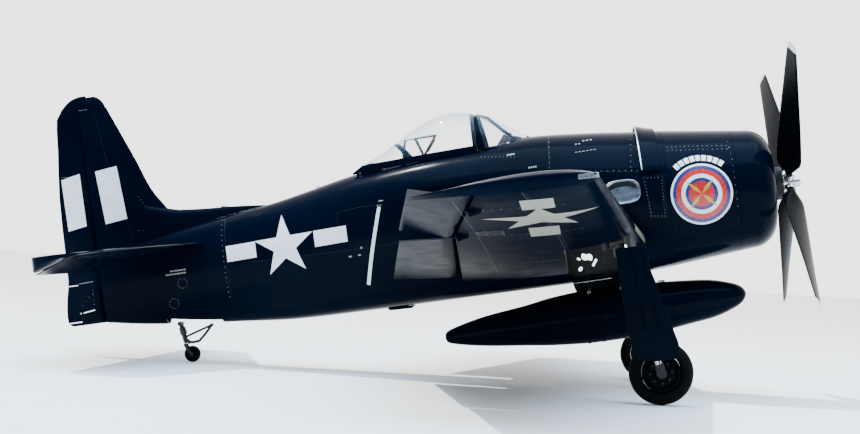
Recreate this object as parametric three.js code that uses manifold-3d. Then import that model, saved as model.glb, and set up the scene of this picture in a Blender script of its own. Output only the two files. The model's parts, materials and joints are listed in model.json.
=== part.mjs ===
// A large radio-controlled naval fighter on its wheels: one group of named, separate solids.
// Millimetres. Inside the airframe group X runs forward, Y to port and Z up, from the propeller's centre.
// The airframe group is then pitched nose-up to its three-wheel stance and stood on the ground at Z = 0.
import * as THREE from "three";
import { ConvexGeometry } from "three/addons/geometries/ConvexGeometry.js";
import { mergeVertices } from "three/addons/utils/BufferGeometryUtils.js";
import Module from "manifold-3d";

const wasm = await Module();
wasm.setup();

// ---- driving dimensions ----
const GROUND_PITCH = 10.88 * Math.PI / 180; // nose-up angle of the airframe at rest
const THRUST_TILT = 2.2 * Math.PI / 180; // the propeller axis points down by this
const CLEARANCE = 0.4; // between neighbouring solids
const PROP_RADIUS = 377;
const HUB_RADIUS = 17;
const BLADE_CLOCK = 45.4 * Math.PI / 180;
const COWL_LIP_X = -36;
const COWL_SEAM_X = -119; // between the nose ring and the main cowl
const COWL_REAR_X = -265;
const INLET_RADIUS = 80;
const SKIN = 3.5;
const TAIL_POST_X = -1538;
const RUDDER_HINGE_X = -1552;
const WING_ROOT_Y = 130;
const WING_TIP_Y = 1082;
const WING_ROOT_CHORD = 543;
const WING_TIP_CHORD = 287;
const WING_ROOT_X = -327; // leading edge at the root
const WING_ROOT_Z = -83;
const WING_SWEEP = 97 / 952; // how far the leading edge goes back for each mm of span
const WING_DIHEDRAL = Math.tan(5.64 * Math.PI / 180);
const SPAR_X = -560;
const SPAR_Z = -84;
const SPAR_RADIUS = 9;
const AILERON_REST = 12 * Math.PI / 180; // right aileron up, left one down
const ELEVATOR_DROOP = 22.5 * Math.PI / 180;
const STAB_Z = 42; // at the root
const STAB_ANHEDRAL = 9 / 430;
const STAB_TIP_Y = 444; // the fixed tips begin here
const STAB_HALF_SPAN = 480;
const ELEVATOR_HINGE_X = -1462;
const WHEEL = { x: -342, y: 352, z: -347.7, radius: 63, width: 34 };
const GEAR_PIVOT = { x: -392, y: 380, z: -84 };
// The port leg folds about this axis, and the starboard leg about its mirror image.
const GEAR_AXIS = new THREE.Vector3(1, -0.2, 0.1).normalize();
const TAIL_WHEEL = { x: -1354.8, z: -198.6, radius: 18.3, width: 13 };
const TAIL_PIVOT = { x: -1373, z: -128 };
const CANOPY_FRONT_X = -655;
const CANOPY_REAR_X = -913;

// Fuselage sections from nose to tail: station, crown, keel, half width.
const FUSELAGE = [
  [-265, 150, -147, 147],
  [-343, 159, -152, 146],
  [-430, 169, -155, 144],
  [-541, 177, -155.5, 139],
  [-640, 172, -155.5, 131],
  [-800, 163, -155.5, 118],
  [-940, 148, -155, 104],
  [-1057, 125, -154, 88],
  [-1131, 111, -151, 77],
  [-1235, 98, -141, 63],
  [-1350, 82, -130, 47],
  [-1450, 66, -119, 33],
  [-1545, 50, -103, 17],
];
// Canopy bubble: station, crown, sill, half width.
const CANOPY = [
  [-655, 246, 167, 77],
  [-690, 254, 166, 77],
  [-731, 252.5, 165, 74],
  [-787, 234, 164, 68],
  [-846, 200, 162, 60],
  [-895, 175, 161, 53],
  [-913, 166.5, 160, 50],
];
// Drop tank: station, centre height, radius.
const TANK = [
  [-123, -225, 5],
  [-130, -225.5, 15],
  [-145, -226, 25],
  [-190, -227, 40],
  [-250, -228, 48],
  [-320, -230, 54.5],
  [-440, -231, 59],
  [-540, -232, 53],
  [-600, -233.5, 44.5],
  [-690, -234, 33.5],
  [-740, -235, 24],
  [-778, -236, 13.5],
  [-785, -236, 8],
];

// ---- colours ----
const NAVY = { color: 0x0b1226, roughness: 0.15, metalness: 0.1 };
const BLACK = { color: 0x0a0a0b, roughness: 0.45, metalness: 0.1 };
const RUBBER = { color: 0x141414, roughness: 0.85, metalness: 0.0 };
const STEEL = { color: 0x9a948a, roughness: 0.35, metalness: 0.9 };
const ALUMINIUM = { color: 0xc4c6c8, roughness: 0.3, metalness: 0.9 };
const CASTING = { color: 0x26272a, roughness: 0.5, metalness: 0.8 };
const GLASS = { color: 0xdfe8ee, roughness: 0.03, metalness: 0.0, transparent: true, opacity: 0.3 };
const COCKPIT = { color: 0x3b4238, roughness: 0.7, metalness: 0.0 };
const BROWN = { color: 0x6a3f2a, roughness: 0.7, metalness: 0.0 };
const PLY = { color: 0xb08a58, roughness: 0.7, metalness: 0.0 };
const BLUE_WRAP = { color: 0x24508c, roughness: 0.4, metalness: 0.0 };
const PLASTIC = { color: 0x1b1c1f, roughness: 0.5, metalness: 0.0 };

// ---- solid helpers ----
function toSolid(geometry) {
  const plain = geometry.index ? geometry.toNonIndexed() : geometry.clone();
  plain.deleteAttribute("normal");
  plain.deleteAttribute("uv");
  const merged = mergeVertices(plain, 1e-4);
  const mesh = new wasm.Mesh({
    numProp: 3,
    vertProperties: new Float32Array(merged.attributes.position.array),
    triVerts: new Uint32Array(merged.index.array),
  });
  const solid = new wasm.Manifold(mesh);
  return solid;
}

function toGeometry(solid) {
  const mesh = solid.getMesh();
  const geometry = new THREE.BufferGeometry();
  geometry.setAttribute("position", new THREE.BufferAttribute(new Float32Array(mesh.vertProperties), 3));
  geometry.setIndex(new THREE.BufferAttribute(new Uint32Array(mesh.triVerts), 1));
  return geometry;
}

function cut(solid, ...tools) {
  return tools.reduce((rest, tool) => rest.subtract(tool), solid);
}

function join(first, ...others) {
  return others.reduce((whole, piece) => whole.add(piece), first);
}

// A closed skin through rings of equal length, each ring a list of [x, y, z], capped at both ends.
function loft(rings) {
  const count = rings[0].length;
  const points = rings.flat();
  const faces = [];
  for (let r = 0; r + 1 < rings.length; r++) {
    for (let i = 0; i < count; i++) {
      const a = r * count + i;
      const b = r * count + (i + 1) % count;
      faces.push([a, b, b + count], [a, b + count, a + count]);
    }
  }
  // Each end is closed by a ladder between the two halves of its ring, for a band or a disc.
  const last = (rings.length - 1) * count;
  for (let i = 0, j = count - 1; i + 1 < j; i++, j--) {
    faces.push([i, j, i + 1], [last + i, last + i + 1, last + j]);
    if (i + 1 < j - 1) faces.push([i + 1, j, j - 1], [last + i + 1, last + j - 1, last + j]);
  }
  const volume = faces.reduce((sum, [a, b, c]) => {
    const [p, q, s] = [a, b, c].map((k) => new THREE.Vector3(...points[k]));
    return sum + p.dot(q.cross(s));
  }, 0);
  const order = volume > 0 ? faces : faces.map(([a, b, c]) => [a, c, b]);
  const geometry = new THREE.BufferGeometry();
  geometry.setAttribute("position", new THREE.Float32BufferAttribute(points.flat(), 3));
  geometry.setIndex(order.flat());
  return toSolid(geometry);
}

function box(low, high) {
  const size = [0, 1, 2].map((k) => high[k] - low[k]);
  const geometry = new THREE.BoxGeometry(...size);
  geometry.translate(...[0, 1, 2].map((k) => (low[k] + high[k]) / 2));
  return toSolid(geometry);
}

// A straight round bar between two points.
function rod(from, to, radius, endRadius = radius, sides = 10) {
  const start = new THREE.Vector3(...from);
  const along = new THREE.Vector3(...to).sub(start);
  const geometry = new THREE.CylinderGeometry(endRadius, radius, along.length(), sides);
  geometry.translate(0, along.length() / 2, 0);
  const turn = new THREE.Quaternion().setFromUnitVectors(new THREE.Vector3(0, 1, 0), along.normalize());
  geometry.applyQuaternion(turn);
  geometry.translate(...from);
  return toSolid(geometry);
}

// A profile of [radius, distance] turned about an axis that points along +X, or +Y where asked.
function turned(profile, centre, axis = "x", sides = 24) {
  const geometry = new THREE.LatheGeometry(profile.map(([r, d]) => new THREE.Vector2(r, d)), sides);
  if (axis === "x") geometry.rotateZ(-Math.PI / 2);
  geometry.translate(...centre);
  return toSolid(geometry);
}

// A plan outline of [x, y] raised from one height to another.
function prism(outline, low, high) {
  const shape = new THREE.Shape(outline.map(([x, y]) => new THREE.Vector2(x, y)));
  const geometry = new THREE.ExtrudeGeometry(shape, { depth: high - low, bevelEnabled: false });
  geometry.translate(0, 0, low);
  return toSolid(geometry);
}

// A side outline of [x, z] given thickness across the airframe, from y = low to y = high.
function plate(outline, low, high) {
  const shape = new THREE.Shape(outline.map(([x, z]) => new THREE.Vector2(x, z)));
  const geometry = new THREE.ExtrudeGeometry(shape, { depth: high - low, bevelEnabled: false });
  geometry.rotateX(Math.PI / 2);
  geometry.translate(0, high, 0);
  return toSolid(geometry);
}

// Smooth interpolation down a table whose first column is a falling station.
function lookUp(table, x) {
  const last = table.length - 1;
  let i = table.findIndex((row, k) => k < last && x > table[k + 1][0]);
  if (i < 0) i = last - 1;
  const rows = [i - 1, i, i + 1, i + 2].map((k) => table[Math.min(Math.max(k, 0), last)]);
  const [before, here, next, after] = rows;
  const t = Math.min(Math.max((x - here[0]) / (next[0] - here[0]), 0), 1);
  return here.slice(1).map((value, k) => {
    const c = k + 1;
    const span = next[0] - here[0];
    const along = (next[c] - here[c]) / span;
    const slopeHere = before === here ? along : (next[c] - before[c]) / (next[0] - before[0]);
    const slopeNext = after === next ? along : (after[c] - here[c]) / (after[0] - here[0]);
    const a = 2 * t ** 3 - 3 * t ** 2 + 1;
    const b = t ** 3 - 2 * t ** 2 + t;
    const d = t ** 3 - t ** 2;
    return a * value + b * span * slopeHere + (1 - a) * next[c] + d * span * slopeNext;
  });
}

// ---- the airframe's outer shapes ----
const power = (value, exponent) => Math.sign(value) * Math.abs(value) ** exponent;

// The crown is round at the cowl and at the tail, and fuller beside the cockpit.
// The front leans with the cowl.
function crownExponent(x) {
  return 2.1 + 0.6 * Math.exp(-(((x + 720) / 190) ** 2));
}

function fuselagePoint(x, angle, grow = 0) {
  const [crown, keel, half] = lookUp(FUSELAGE, x);
  const middle = (crown + keel) / 2;
  const n = Math.sin(angle) > 0 ? crownExponent(x) : 2.25;
  const reach = (crown - keel) / 2 + grow;
  const y = (half + grow) * power(Math.cos(angle), 2 / n);
  const z = middle + reach * power(Math.sin(angle), 2 / n);
  const lean = Math.tan(THRUST_TILT) * Math.min(Math.max((x - FUSELAGE[1][0]) / 78, 0), 1);
  return [x + z * lean, y, z];
}

function circleAngles(sides) {
  return Array.from({ length: sides }, (_, i) => (2 * Math.PI * i) / sides);
}

function fuselageSolid(grow, front, rear, sides = 28) {
  const inner = FUSELAGE.map((row) => row[0]).filter((x) => x < front - 6 && x > rear + 6);
  const stations = [front, ...inner, rear];
  return loft(stations.map((x) => circleAngles(sides).map((a) => fuselagePoint(x, a, grow))));
}

function cowlRadius(x) {
  const knee = -86;
  if (x > knee) {
    const t = (x - knee) / (COWL_LIP_X - knee);
    return INLET_RADIUS + (127.8 - INLET_RADIUS) * Math.max(0, 1 - t ** 1.9) ** 0.53;
  }
  return 127.8 + (knee - x) * 0.116;
}

function cowlCentre(x) {
  return -3.5 + 5 * ((COWL_LIP_X - x) / (COWL_LIP_X - COWL_REAR_X));
}

// Cowl stations lean with the thrust line, so a ring's top is a little ahead of its bottom.
function cowlRing(x, radius, sides = 28) {
  const lean = Math.tan(THRUST_TILT);
  return circleAngles(sides).map((a) => {
    const z = radius * Math.sin(a);
    return [x + z * lean, radius * Math.cos(a), cowlCentre(x) + z];
  });
}

function wingSection(y) {
  const out = (y - WING_ROOT_Y) / (WING_TIP_Y - WING_ROOT_Y);
  const chord = WING_ROOT_CHORD + (WING_TIP_CHORD - WING_ROOT_CHORD) * out;
  const washout = Math.min(-16 + 16 * (y - WING_ROOT_Y) / 500, 3);
  return {
    x: WING_ROOT_X - (y - WING_ROOT_Y) * WING_SWEEP,
    z: WING_ROOT_Z + (y - WING_ROOT_Y) * WING_DIHEDRAL,
    chord,
    drop: washout / chord,
    thick: 0.18 - 0.083 * out,
    camber: 0.018,
  };
}

// Half thickness of a classic four-digit aerofoil at a fraction of its chord.
function halfThickness(thick, s) {
  const t = 0.2969 * Math.sqrt(s) - 0.126 * s - 0.3516 * s ** 2 + 0.2843 * s ** 3 - 0.1036 * s ** 4;
  return 5 * thick * t;
}

function wingPoint(section, s, face) {
  const z = section.camber * 4 * s * (1 - s) + face * halfThickness(section.thick, s) + section.drop * s;
  return [section.x - s * section.chord, section.z + z * section.chord];
}

const UPPER = [1, 0.9, 0.78, 0.62, 0.46, 0.3, 0.18, 0.09, 0.035, 0.008];
const LOWER = [0, 0.012, 0.045, 0.1, 0.19, 0.31, 0.47, 0.64, 0.79, 0.9];

function wingRing(y, side, shrink = 1) {
  const section = wingSection(y);
  const flat = { ...section, thick: section.thick * shrink };
  const upper = UPPER.map((s) => wingPoint(flat, s, 1));
  const lower = LOWER.map((s) => wingPoint(flat, s, -1));
  return [...upper, ...lower].map(([x, z]) => [x, side * y, z]);
}

// Where the flaps and ailerons hinge, and how thick the wing is there.
function wingHinge(y) {
  const x = y < 636 ? -742 + (y - 150) * (46 / 486) : -696 + (y - 636) * (76 / 424);
  const section = wingSection(y);
  const s = (section.x - x) / section.chord;
  const [, top] = wingPoint(section, s, 1);
  const [, bottom] = wingPoint(section, s, -1);
  return { x, z: (top + bottom) / 2, radius: (top - bottom) / 2 - 0.4, section, s };
}

// One section of a flap or aileron: a round nose on the hinge line and the wing's own tail.
function flapRing(y, side) {
  const { x, z, radius, section, s } = wingHinge(y);
  const nose = [-60, -30, 0, 30, 60].map((deg) => {
    const a = (deg * Math.PI) / 180;
    return [x + radius * Math.cos(a), z + radius * Math.sin(a)];
  });
  const back = (face) => [0.02, 0.5, 0.985].map((f) => wingPoint(section, s + (1 - s) * f, face));
  return [...nose, ...back(1), ...back(-1).reverse()].map(([px, pz]) => [px, side * y, pz]);
}

// ---- tail surfaces ----
// The fin's leading edge and the rudder's trailing edge at a height.
const FIN_EDGE = [
  [391, -1487],
  [320, -1457],
  [250, -1428],
  [179, -1400],
  [126, -1366],
  [60, -1340],
];
const RUDDER_EDGE = [
  [408, -1570],
  [395, -1580],
  [382, -1590],
  [368, -1600],
  [300, -1606],
  [190, -1616],
  [75, -1618],
  [0, -1619],
  [-50, -1628],
  [-86, -1631],
  [-100, -1612],
];

function finThickness(z) {
  return z > 100 ? 15 - (z - 100) * 0.034 : 15;
}

function finRing(z) {
  const [front] = lookUp(FIN_EDGE, z);
  const rear = RUDDER_HINGE_X + finThickness(z) - 1;
  const half = finThickness(z);
  const outline = [0, 0.06, 0.18, 0.4, 0.7, 1].map((s) => {
    const y = half * Math.min(1, 1.25 * Math.sqrt(s) * (1 - 0.2 * s));
    return [front + (rear - front) * s, y];
  });
  const port = outline.map(([x, y]) => [x, y, z]);
  const starboard = outline.slice(1).reverse().map(([x, y]) => [x, -y, z]);
  return [...port, ...starboard];
}

function rudderRing(z, hingeX = RUDDER_HINGE_X, half = finThickness(z) - 1) {
  const [rear] = lookUp(RUDDER_EDGE, z);
  const nose = [-80, -45, -15, 15, 45, 80].map((deg) => {
    const a = (deg * Math.PI) / 180;
    return [hingeX + half * Math.cos(a), half * Math.sin(a), z];
  });
  return [...nose, [rear, 0.8, z], [rear, -0.8, z]];
}

const stabHeight = (y) => STAB_Z - STAB_ANHEDRAL * Math.max(Math.abs(y) - 50, 0);

// One tailplane section, grown all round by a clearance where it is used as a cutter.
function stabRing(y, rear, grow = 0, droop = 0) {
  const out = Math.abs(y) / STAB_HALF_SPAN;
  const front = -1270 - 128 * out - 450 * Math.max(0, out - 0.94) + grow;
  const half = 12 - 6.5 * out + grow;
  const profile = [0, 0.05, 0.17, 0.4, 0.7, 1].map((s) => {
    const z = half * Math.min(1, 1.3 * Math.sqrt(s) * (1 - 0.23 * s)) * (rear < -1500 ? 1 - 0.15 * s : 1);
    return [front + (rear - front) * s, z];
  });
  const top = profile.map(([x, z]) => [x, y, stabHeight(y) + z]);
  const under = profile.slice(1).reverse().map(([x, z]) => {
    return [x, y, stabHeight(y) - z - Math.max(0, ELEVATOR_HINGE_X - x) * droop];
  });
  return [...top, ...under];
}

function stabSolid(grow) {
  const rear = ELEVATOR_HINGE_X + 8.8;
  const core = loft([-STAB_TIP_Y, -60, 60, STAB_TIP_Y].map((y) => stabRing(y, rear, grow)));
  if (grow > 0) return core;
  const tips = [-1, 1].map((side) => {
    const rows = [[STAB_TIP_Y - 0.1, -1530, 0.3], [466, -1529, 0.28], [STAB_HALF_SPAN, -1514, 0.1]];
    return loft(rows.map(([y, tail, droop]) => stabRing(side * y, tail, 0, droop)));
  });
  return join(core, ...tips);
}

// An elevator section with its hinge at the origin of x and z.
function elevatorRing(y, side) {
  const half = 8 - 4 * (y / STAB_HALF_SPAN);
  const nose = [-80, -45, -15, 15, 45, 80].map((deg) => {
    const a = (deg * Math.PI) / 180;
    return [half * Math.cos(a), side * y, half * Math.sin(a)];
  });
  return [...nose, [-77, side * y, 0.8], [-77, side * y, -0.8]];
}

// ---- assembly ----
const airframe = new THREE.Group();

function add(name, solid, finish, parent = airframe) {
  const mesh = new THREE.Mesh(toGeometry(solid), new THREE.MeshStandardMaterial(finish));
  mesh.name = name;
  parent.add(mesh);
  return mesh;
}

const SIDES = [["right", -1], ["left", 1]];
const fuselageTool = fuselageSolid(CLEARANCE, -255, -1560);

function addPropeller() {
  const shaft = new THREE.Group();
  shaft.rotation.y = THRUST_TILT;
  airframe.add(shaft);
  const hubProfile = [[0, -30], [HUB_RADIUS, -30], [HUB_RADIUS, 10], [12, 16], [12, 24], [0, 24]];
  const hub = turned(hubProfile, [0, 0, 0]);
  const sockets = [0, 1, 2, 3].map((i) => {
    const a = BLADE_CLOCK + (i * Math.PI) / 2;
    return rod([0, 0, 0], [0, 27 * Math.cos(a), 27 * Math.sin(a)], 11, 11, 8);
  });
  add("prop_hub", join(hub, ...sockets), ALUMINIUM, shaft);
  // Radius, chord, thickness and pitch angle of each blade section, from the cuff to the tip.
  const bladeStations = [
    [27.5, 18, 15, 60],
    [36, 24, 14, 60],
    [58, 54, 12, 58],
    [90, 58, 10, 50],
    [150, 58, 8, 42],
    [220, 54, 6.5, 34],
    [300, 44, 5, 27],
    [360, 36, 4, 22],
    [PROP_RADIUS, 26, 3, 21],
  ];
  const rings = bladeStations.map(([r, chord, thick, pitch]) => {
    const twist = (pitch * Math.PI) / 180;
    return circleAngles(8).map((a) => {
      const u = (chord / 2) * Math.cos(a);
      const v = (thick / 2) * Math.sin(a);
      return [u * Math.sin(twist) + v * Math.cos(twist), -u * Math.cos(twist) + v * Math.sin(twist), r];
    });
  });
  const blade = loft(rings);
  for (let i = 0; i < 4; i++) {
    const mesh = add(`prop_blade_${i + 1}`, blade, BLACK, shaft);
    mesh.rotation.x = BLADE_CLOCK + (i * Math.PI) / 2 - Math.PI / 2;
  }
  const can = turned([[0, -160], [44, -160], [46, -156], [46, -104], [40, -96], [0, -94]], [0, 0, 0]);
  const stub = turned([[0, -100], [6, -100], [6, -30.5], [0, -30.5]], [0, 0, 0]);
  add("motor_bell", join(can, stub), BLACK, shaft);
  const base = turned([[0, -225], [34, -225], [34, -186], [42, -180], [42, -161], [0, -161]], [0, 0, 0]);
  const legs = [45, 135, 225, 315].map((deg) => {
    const a = (deg * Math.PI) / 180;
    const [y, z] = [46 * Math.cos(a), 46 * Math.sin(a)];
    return rod([-263, 1.15 * y, 1.15 * z], [-180, 0.75 * y, 0.75 * z], 5, 5, 6);
  });
  add("motor_mount", join(base, ...legs), ALUMINIUM, shaft);
}

function addNose() {
  const outerX = [-36, -38, -43, -51, -62, -74, -86, COWL_SEAM_X];
  const outer = outerX.map((x) => cowlRing(x, x === -36 ? INLET_RADIUS + 4 : cowlRadius(x)));
  const inner = [-30, -60, -90, -125].map((x) => cowlRing(x, x > -80 ? INLET_RADIUS - 2 : 118));
  add("cowl_nose_ring", cut(loft(outer), loft(inner)), NAVY);
  const cowlX = [COWL_SEAM_X - CLEARANCE, -170, -215, COWL_REAR_X + CLEARANCE];
  const cowlInner = [-110, -190, -275].map((x) => cowlRing(x, cowlRadius(x) - SKIN));
  add("engine_cowl", cut(loft(cowlX.map((x) => cowlRing(x, cowlRadius(x)))), loft(cowlInner)), NAVY);

  const crank = turned([[62, -222], [84, -222], [84, -170], [62, -170], [62, -222]], [0, 0, 0], "x", 18);
  const cylinders = circleAngles(9).map((a) => {
    const [y, z] = [Math.cos(a + Math.PI / 2), Math.sin(a + Math.PI / 2)];
    return rod([-196, 74 * y, 74 * z], [-196, 126 * y, 126 * z], 19, 16, 8);
  });
  add("dummy_engine", join(crank, ...cylinders), STEEL);

  const wallRing = (x) => circleAngles(28).map((a) => fuselagePoint(x, a, -SKIN - 2 * CLEARANCE));
  const wall = loft([wallRing(-271), wallRing(-277)]);
  add("firewall", wall, PLY);

  for (const [name, side] of SIDES) {
    const angles = [20, 30, 40, 51, 62, 73, 83].map((deg) => (deg * Math.PI) / 180);
    const strip = (x, lift, thick) => {
      const row = (grow) => angles.map((a) => {
        const [px, y, z] = fuselagePoint(x, a, grow);
        return [px, side * y, z];
      });
      return [...row(lift + thick), ...row(lift).reverse()];
    };
    const flap = loft([strip(-278, 3.8, 1.6), strip(-295, 5.5, 2), strip(-316, 11, 2)]);
    add(`cowl_flap_${name}`, flap, NAVY);
  }
}

// The volume of one wheel well, from below the wing up to just under its upper skin.
function wheelWell(side) {
  const rear = -496;
  const roof = (y, x) => {
    const section = wingSection(Math.max(y, WING_ROOT_Y));
    return wingPoint(section, (section.x - x) / section.chord, 1)[1] - 7;
  };
  const ring = (y) => {
    const front = wingSection(Math.max(y, WING_ROOT_Y)).x - 12;
    const top = [front, front - 20, front - 55, rear].map((x) => [x, side * y, roof(y, x)]);
    return [[rear, side * y, -200], [front, side * y, -200], ...top];
  };
  return loft([46, WING_ROOT_Y, 300, 408].map(ring));
}

function addFuselage() {
  const outer = fuselageSolid(0, COWL_REAR_X - CLEARANCE, TAIL_POST_X);
  const hollow = fuselageSolid(-SKIN, -258, -1500);
  const opening = [[-862, -50], [-862, 50], [-790, 60], [-585, 62], [-585, -62], [-790, -60]];
  const cockpit = prism(opening, 118, 300);
  const tailWell = box([-1398, -22, -220], [-1272, 22, -50]);
  const tunnel = box([-488, -60, -137], [-392, 60, -62]);
  const spar = rod([SPAR_X, -200, SPAR_Z], [SPAR_X, 200, SPAR_Z], SPAR_RADIUS + CLEARANCE);
  const stabSlot = stabSolid(CLEARANCE);
  const shell = cut(outer, hollow, cockpit, tailWell, spar, stabSlot, wheelWell(1), wheelWell(-1), tunnel);
  add("fuselage_shell", shell, NAVY);

  for (const [name, side] of SIDES) {
    const rings = circleAngles(20).map((a) => [-361 + 38 * Math.cos(a), 22 + 26 * Math.sin(a)]);
    const slab = plate(rings, side > 0 ? 100 : -200, side > 0 ? 200 : -100);
    const skin = cut(fuselageSolid(2, -300, -420, 72), fuselageSolid(CLEARANCE, -290, -430, 72));
    add(`exhaust_panel_${name}`, skin.intersect(slab), STEEL);
  }
}

function canopyRing(x, grow = 0) {
  const [crown, sill, half] = lookUp(CANOPY, x);
  const angles = Array.from({ length: 15 }, (_, i) => (Math.PI * i) / 14);
  return angles.map((a) => {
    const y = (half + grow) * power(Math.cos(a), 0.92);
    return [x, y, sill + (crown - sill + grow) * power(Math.sin(a), 0.92)];
  });
}

function addCanopy() {
  const stations = CANOPY.map((row) => row[0]);
  const outer = loft(stations.map((x) => canopyRing(x)));
  const innerRings = [-640, ...stations.slice(0, -1)].map((x) => {
    const sill = lookUp(CANOPY, x)[1];
    return canopyRing(Math.min(x, CANOPY_FRONT_X), -2).map(([, y, z]) => [x, y, z === sill ? z - 4 : z]);
  });
  const lowered = (ring) => ring.map(([x, y, z], i) => [x, y, i === 0 || i === 14 ? z - 9 : z]);
  const hollow = loft(innerRings.map(lowered));
  add("canopy_glass", cut(outer, hollow), GLASS);

  const railSection = (x, side) => {
    const [, sill, half] = lookUp(CANOPY, x);
    const low = sill - 12;
    return [
      [x, side * (half - 5), low],
      [x, side * (half + 1), low],
      [x, side * (half + 1), sill - 2 * CLEARANCE],
      [x, side * (half - 5), sill - 2 * CLEARANCE],
    ];
  };
  const rails = SIDES.map(([, side]) => loft([...stations, -936].map((x) => {
    const half = x < CANOPY_REAR_X ? 6 : 0;
    return railSection(Math.max(x, -913), side).map(([, y, z]) => [x, y - side * half, z - half * 0.4]);
  })));
  const bow = canopyRing(CANOPY_FRONT_X, -3);
  const bowInner = canopyRing(CANOPY_FRONT_X, -8);
  const arch = cut(
    loft([bow, bow.map(([x, y, z]) => [x - 8, y, z])].map((ring) => ring)),
    loft([bowInner.map(([x, y, z]) => [x + 4, y, z - 6]), bowInner.map(([x, y, z]) => [x - 14, y, z - 6])]),
  );
  const rear = rod([-934, -42, 152], [-934, 42, 152], 3);
  const hoopAt = (deg) => {
    const a = (deg * Math.PI) / 180;
    const x = -809 - 27 * Math.sin(a);
    const [crown, sill, half] = lookUp(CANOPY, x);
    const rise = (crown - sill - 6) * power(Math.sin(a), 0.92);
    return [x, (half - 6) * power(Math.cos(a), 0.92), sill + rise - 3];
  };
  const hoop = [0, 22, 45, 67, 90, 113, 135, 158].map((deg) => {
    return rod(hoopAt(deg), hoopAt(Math.min(deg + 23, 180)), 3, 3, 8);
  });
  const foot = SIDES.map(([, side]) => rod([-659, side * 71.5, 158], [-659, side * 71.5, 173], 2, 2, 6));
  add("canopy_frame", cut(join(arch, rear, ...rails, ...foot, ...hoop), fuselageTool), NAVY);
}

// Corner points of the windshield, front pane first, then the rear arch.
function windshieldCorners(inset) {
  const front = [[-541, 26, 177], [-560, 42, 165], [-624, 31, 234]];
  const arch = [0, 25, 50, 72, 90].map((deg) => {
    const a = (deg * Math.PI) / 180;
    return [-638 - 12 * Math.sin(a), 79 * power(Math.cos(a), 0.92), 159 + 87 * power(Math.sin(a), 0.92)];
  });
  return [...front, ...arch].flatMap(([x, y, z]) => {
    const scale = 1 - inset / 60;
    const moved = [x > -630 ? x - inset * 1.2 : x, y * scale, 159 + (z - 159) * scale];
    return [new THREE.Vector3(...moved), new THREE.Vector3(moved[0], -moved[1], moved[2])];
  });
}

// The space inside the windshield, open to the cockpit below and behind.
function windshieldHollow(inset) {
  const corners = windshieldCorners(inset);
  const lowered = corners.map((p) => new THREE.Vector3(p.x, p.y, p.z - 30));
  const deeper = corners.map((p) => new THREE.Vector3(p.x < -630 ? p.x - 20 : p.x, p.y, p.z));
  return toSolid(new ConvexGeometry([...corners, ...lowered, ...deeper]));
}

function addWindshield() {
  const outer = toSolid(new ConvexGeometry(windshieldCorners(0)));
  add("windshield_glass", cut(outer, windshieldHollow(2), fuselageSolid(CLEARANCE, -500, -700, 48)), GLASS);

  const corners = windshieldCorners(4.5).map((p) => p.toArray());
  const bar = (from, to) => rod(from, to, 2.3, 2.3, 6);
  const [footRight, footLeft, topRight, topLeft] = [corners[3], corners[2], corners[5], corners[4]];
  const arch = corners.slice(6);
  const posts = [bar(footRight, topRight), bar(footLeft, topLeft)];
  const bars = [...posts, bar(topRight, topLeft), bar(footRight, footLeft)];
  for (const side of [0, 1]) {
    for (let i = side; i + 2 < arch.length; i += 2) bars.push(bar(arch[i], arch[i + 2]));
    bars.push(bar(side ? footRight : footLeft, arch[side]));
    bars.push(bar(side ? topRight : topLeft, arch[side + 6]));
  }
  const frame = join(...bars).intersect(windshieldHollow(2.6));
  add("windshield_frame", cut(frame, fuselageTool), NAVY);
}

function addCockpit() {
  const tub = cut(box([-858, -46, 62], [-592, 46, 150]), box([-855, -43, 65], [-595, 43, 160]));
  add("cockpit_tub", tub, COCKPIT);
  const bucket = cut(box([-770, -26, 66], [-712, 26, 84]), box([-766, -22, 76], [-716, 22, 90]));
  const back = plate([[-758, 78], [-770, 150], [-765, 152], [-752, 80]], -24, 24);
  add("pilot_seat", join(bucket, back), COCKPIT);
  const truss = [
    rod([-800, -20, 66.5], [-779, -8, 170], 3, 3, 8),
    rod([-800, 20, 66.5], [-779, 8, 170], 3, 3, 8),
    rod([-779, -8, 168], [-792, -14, 208], 3, 3, 8),
    rod([-779, 8, 168], [-792, 14, 208], 3, 3, 8),
    rod([-779, -8, 170], [-779, 8, 170], 3, 3, 8),
    rod([-792, -14, 208], [-792, 14, 208], 3, 3, 8),
    rod([-779, 0, 168], [-747, 0, 211], 3, 3, 8),
    rod([-816, 0, 209], [-745, 0, 211], 3, 3, 8),
    rod([-849, 0, 67.5], [-816, 0, 209], 3, 3, 8),
  ];
  add("headrest_frame", join(...truss), COCKPIT);
  const hood = [[-557, 168], [-557, 177], [-580, 184], [-597, 188.5]];
  const face = [[-613, 168], [-616, 128], [-612, 128], [-606, 160]];
  const deck = cut(fuselageSolid(CLEARANCE, -255, -594), box([-594, -60, 100], [-700, 60, 200]));
  add("instrument_panel", cut(plate([...hood, ...face], -27, 27), deck), BROWN);
}

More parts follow.
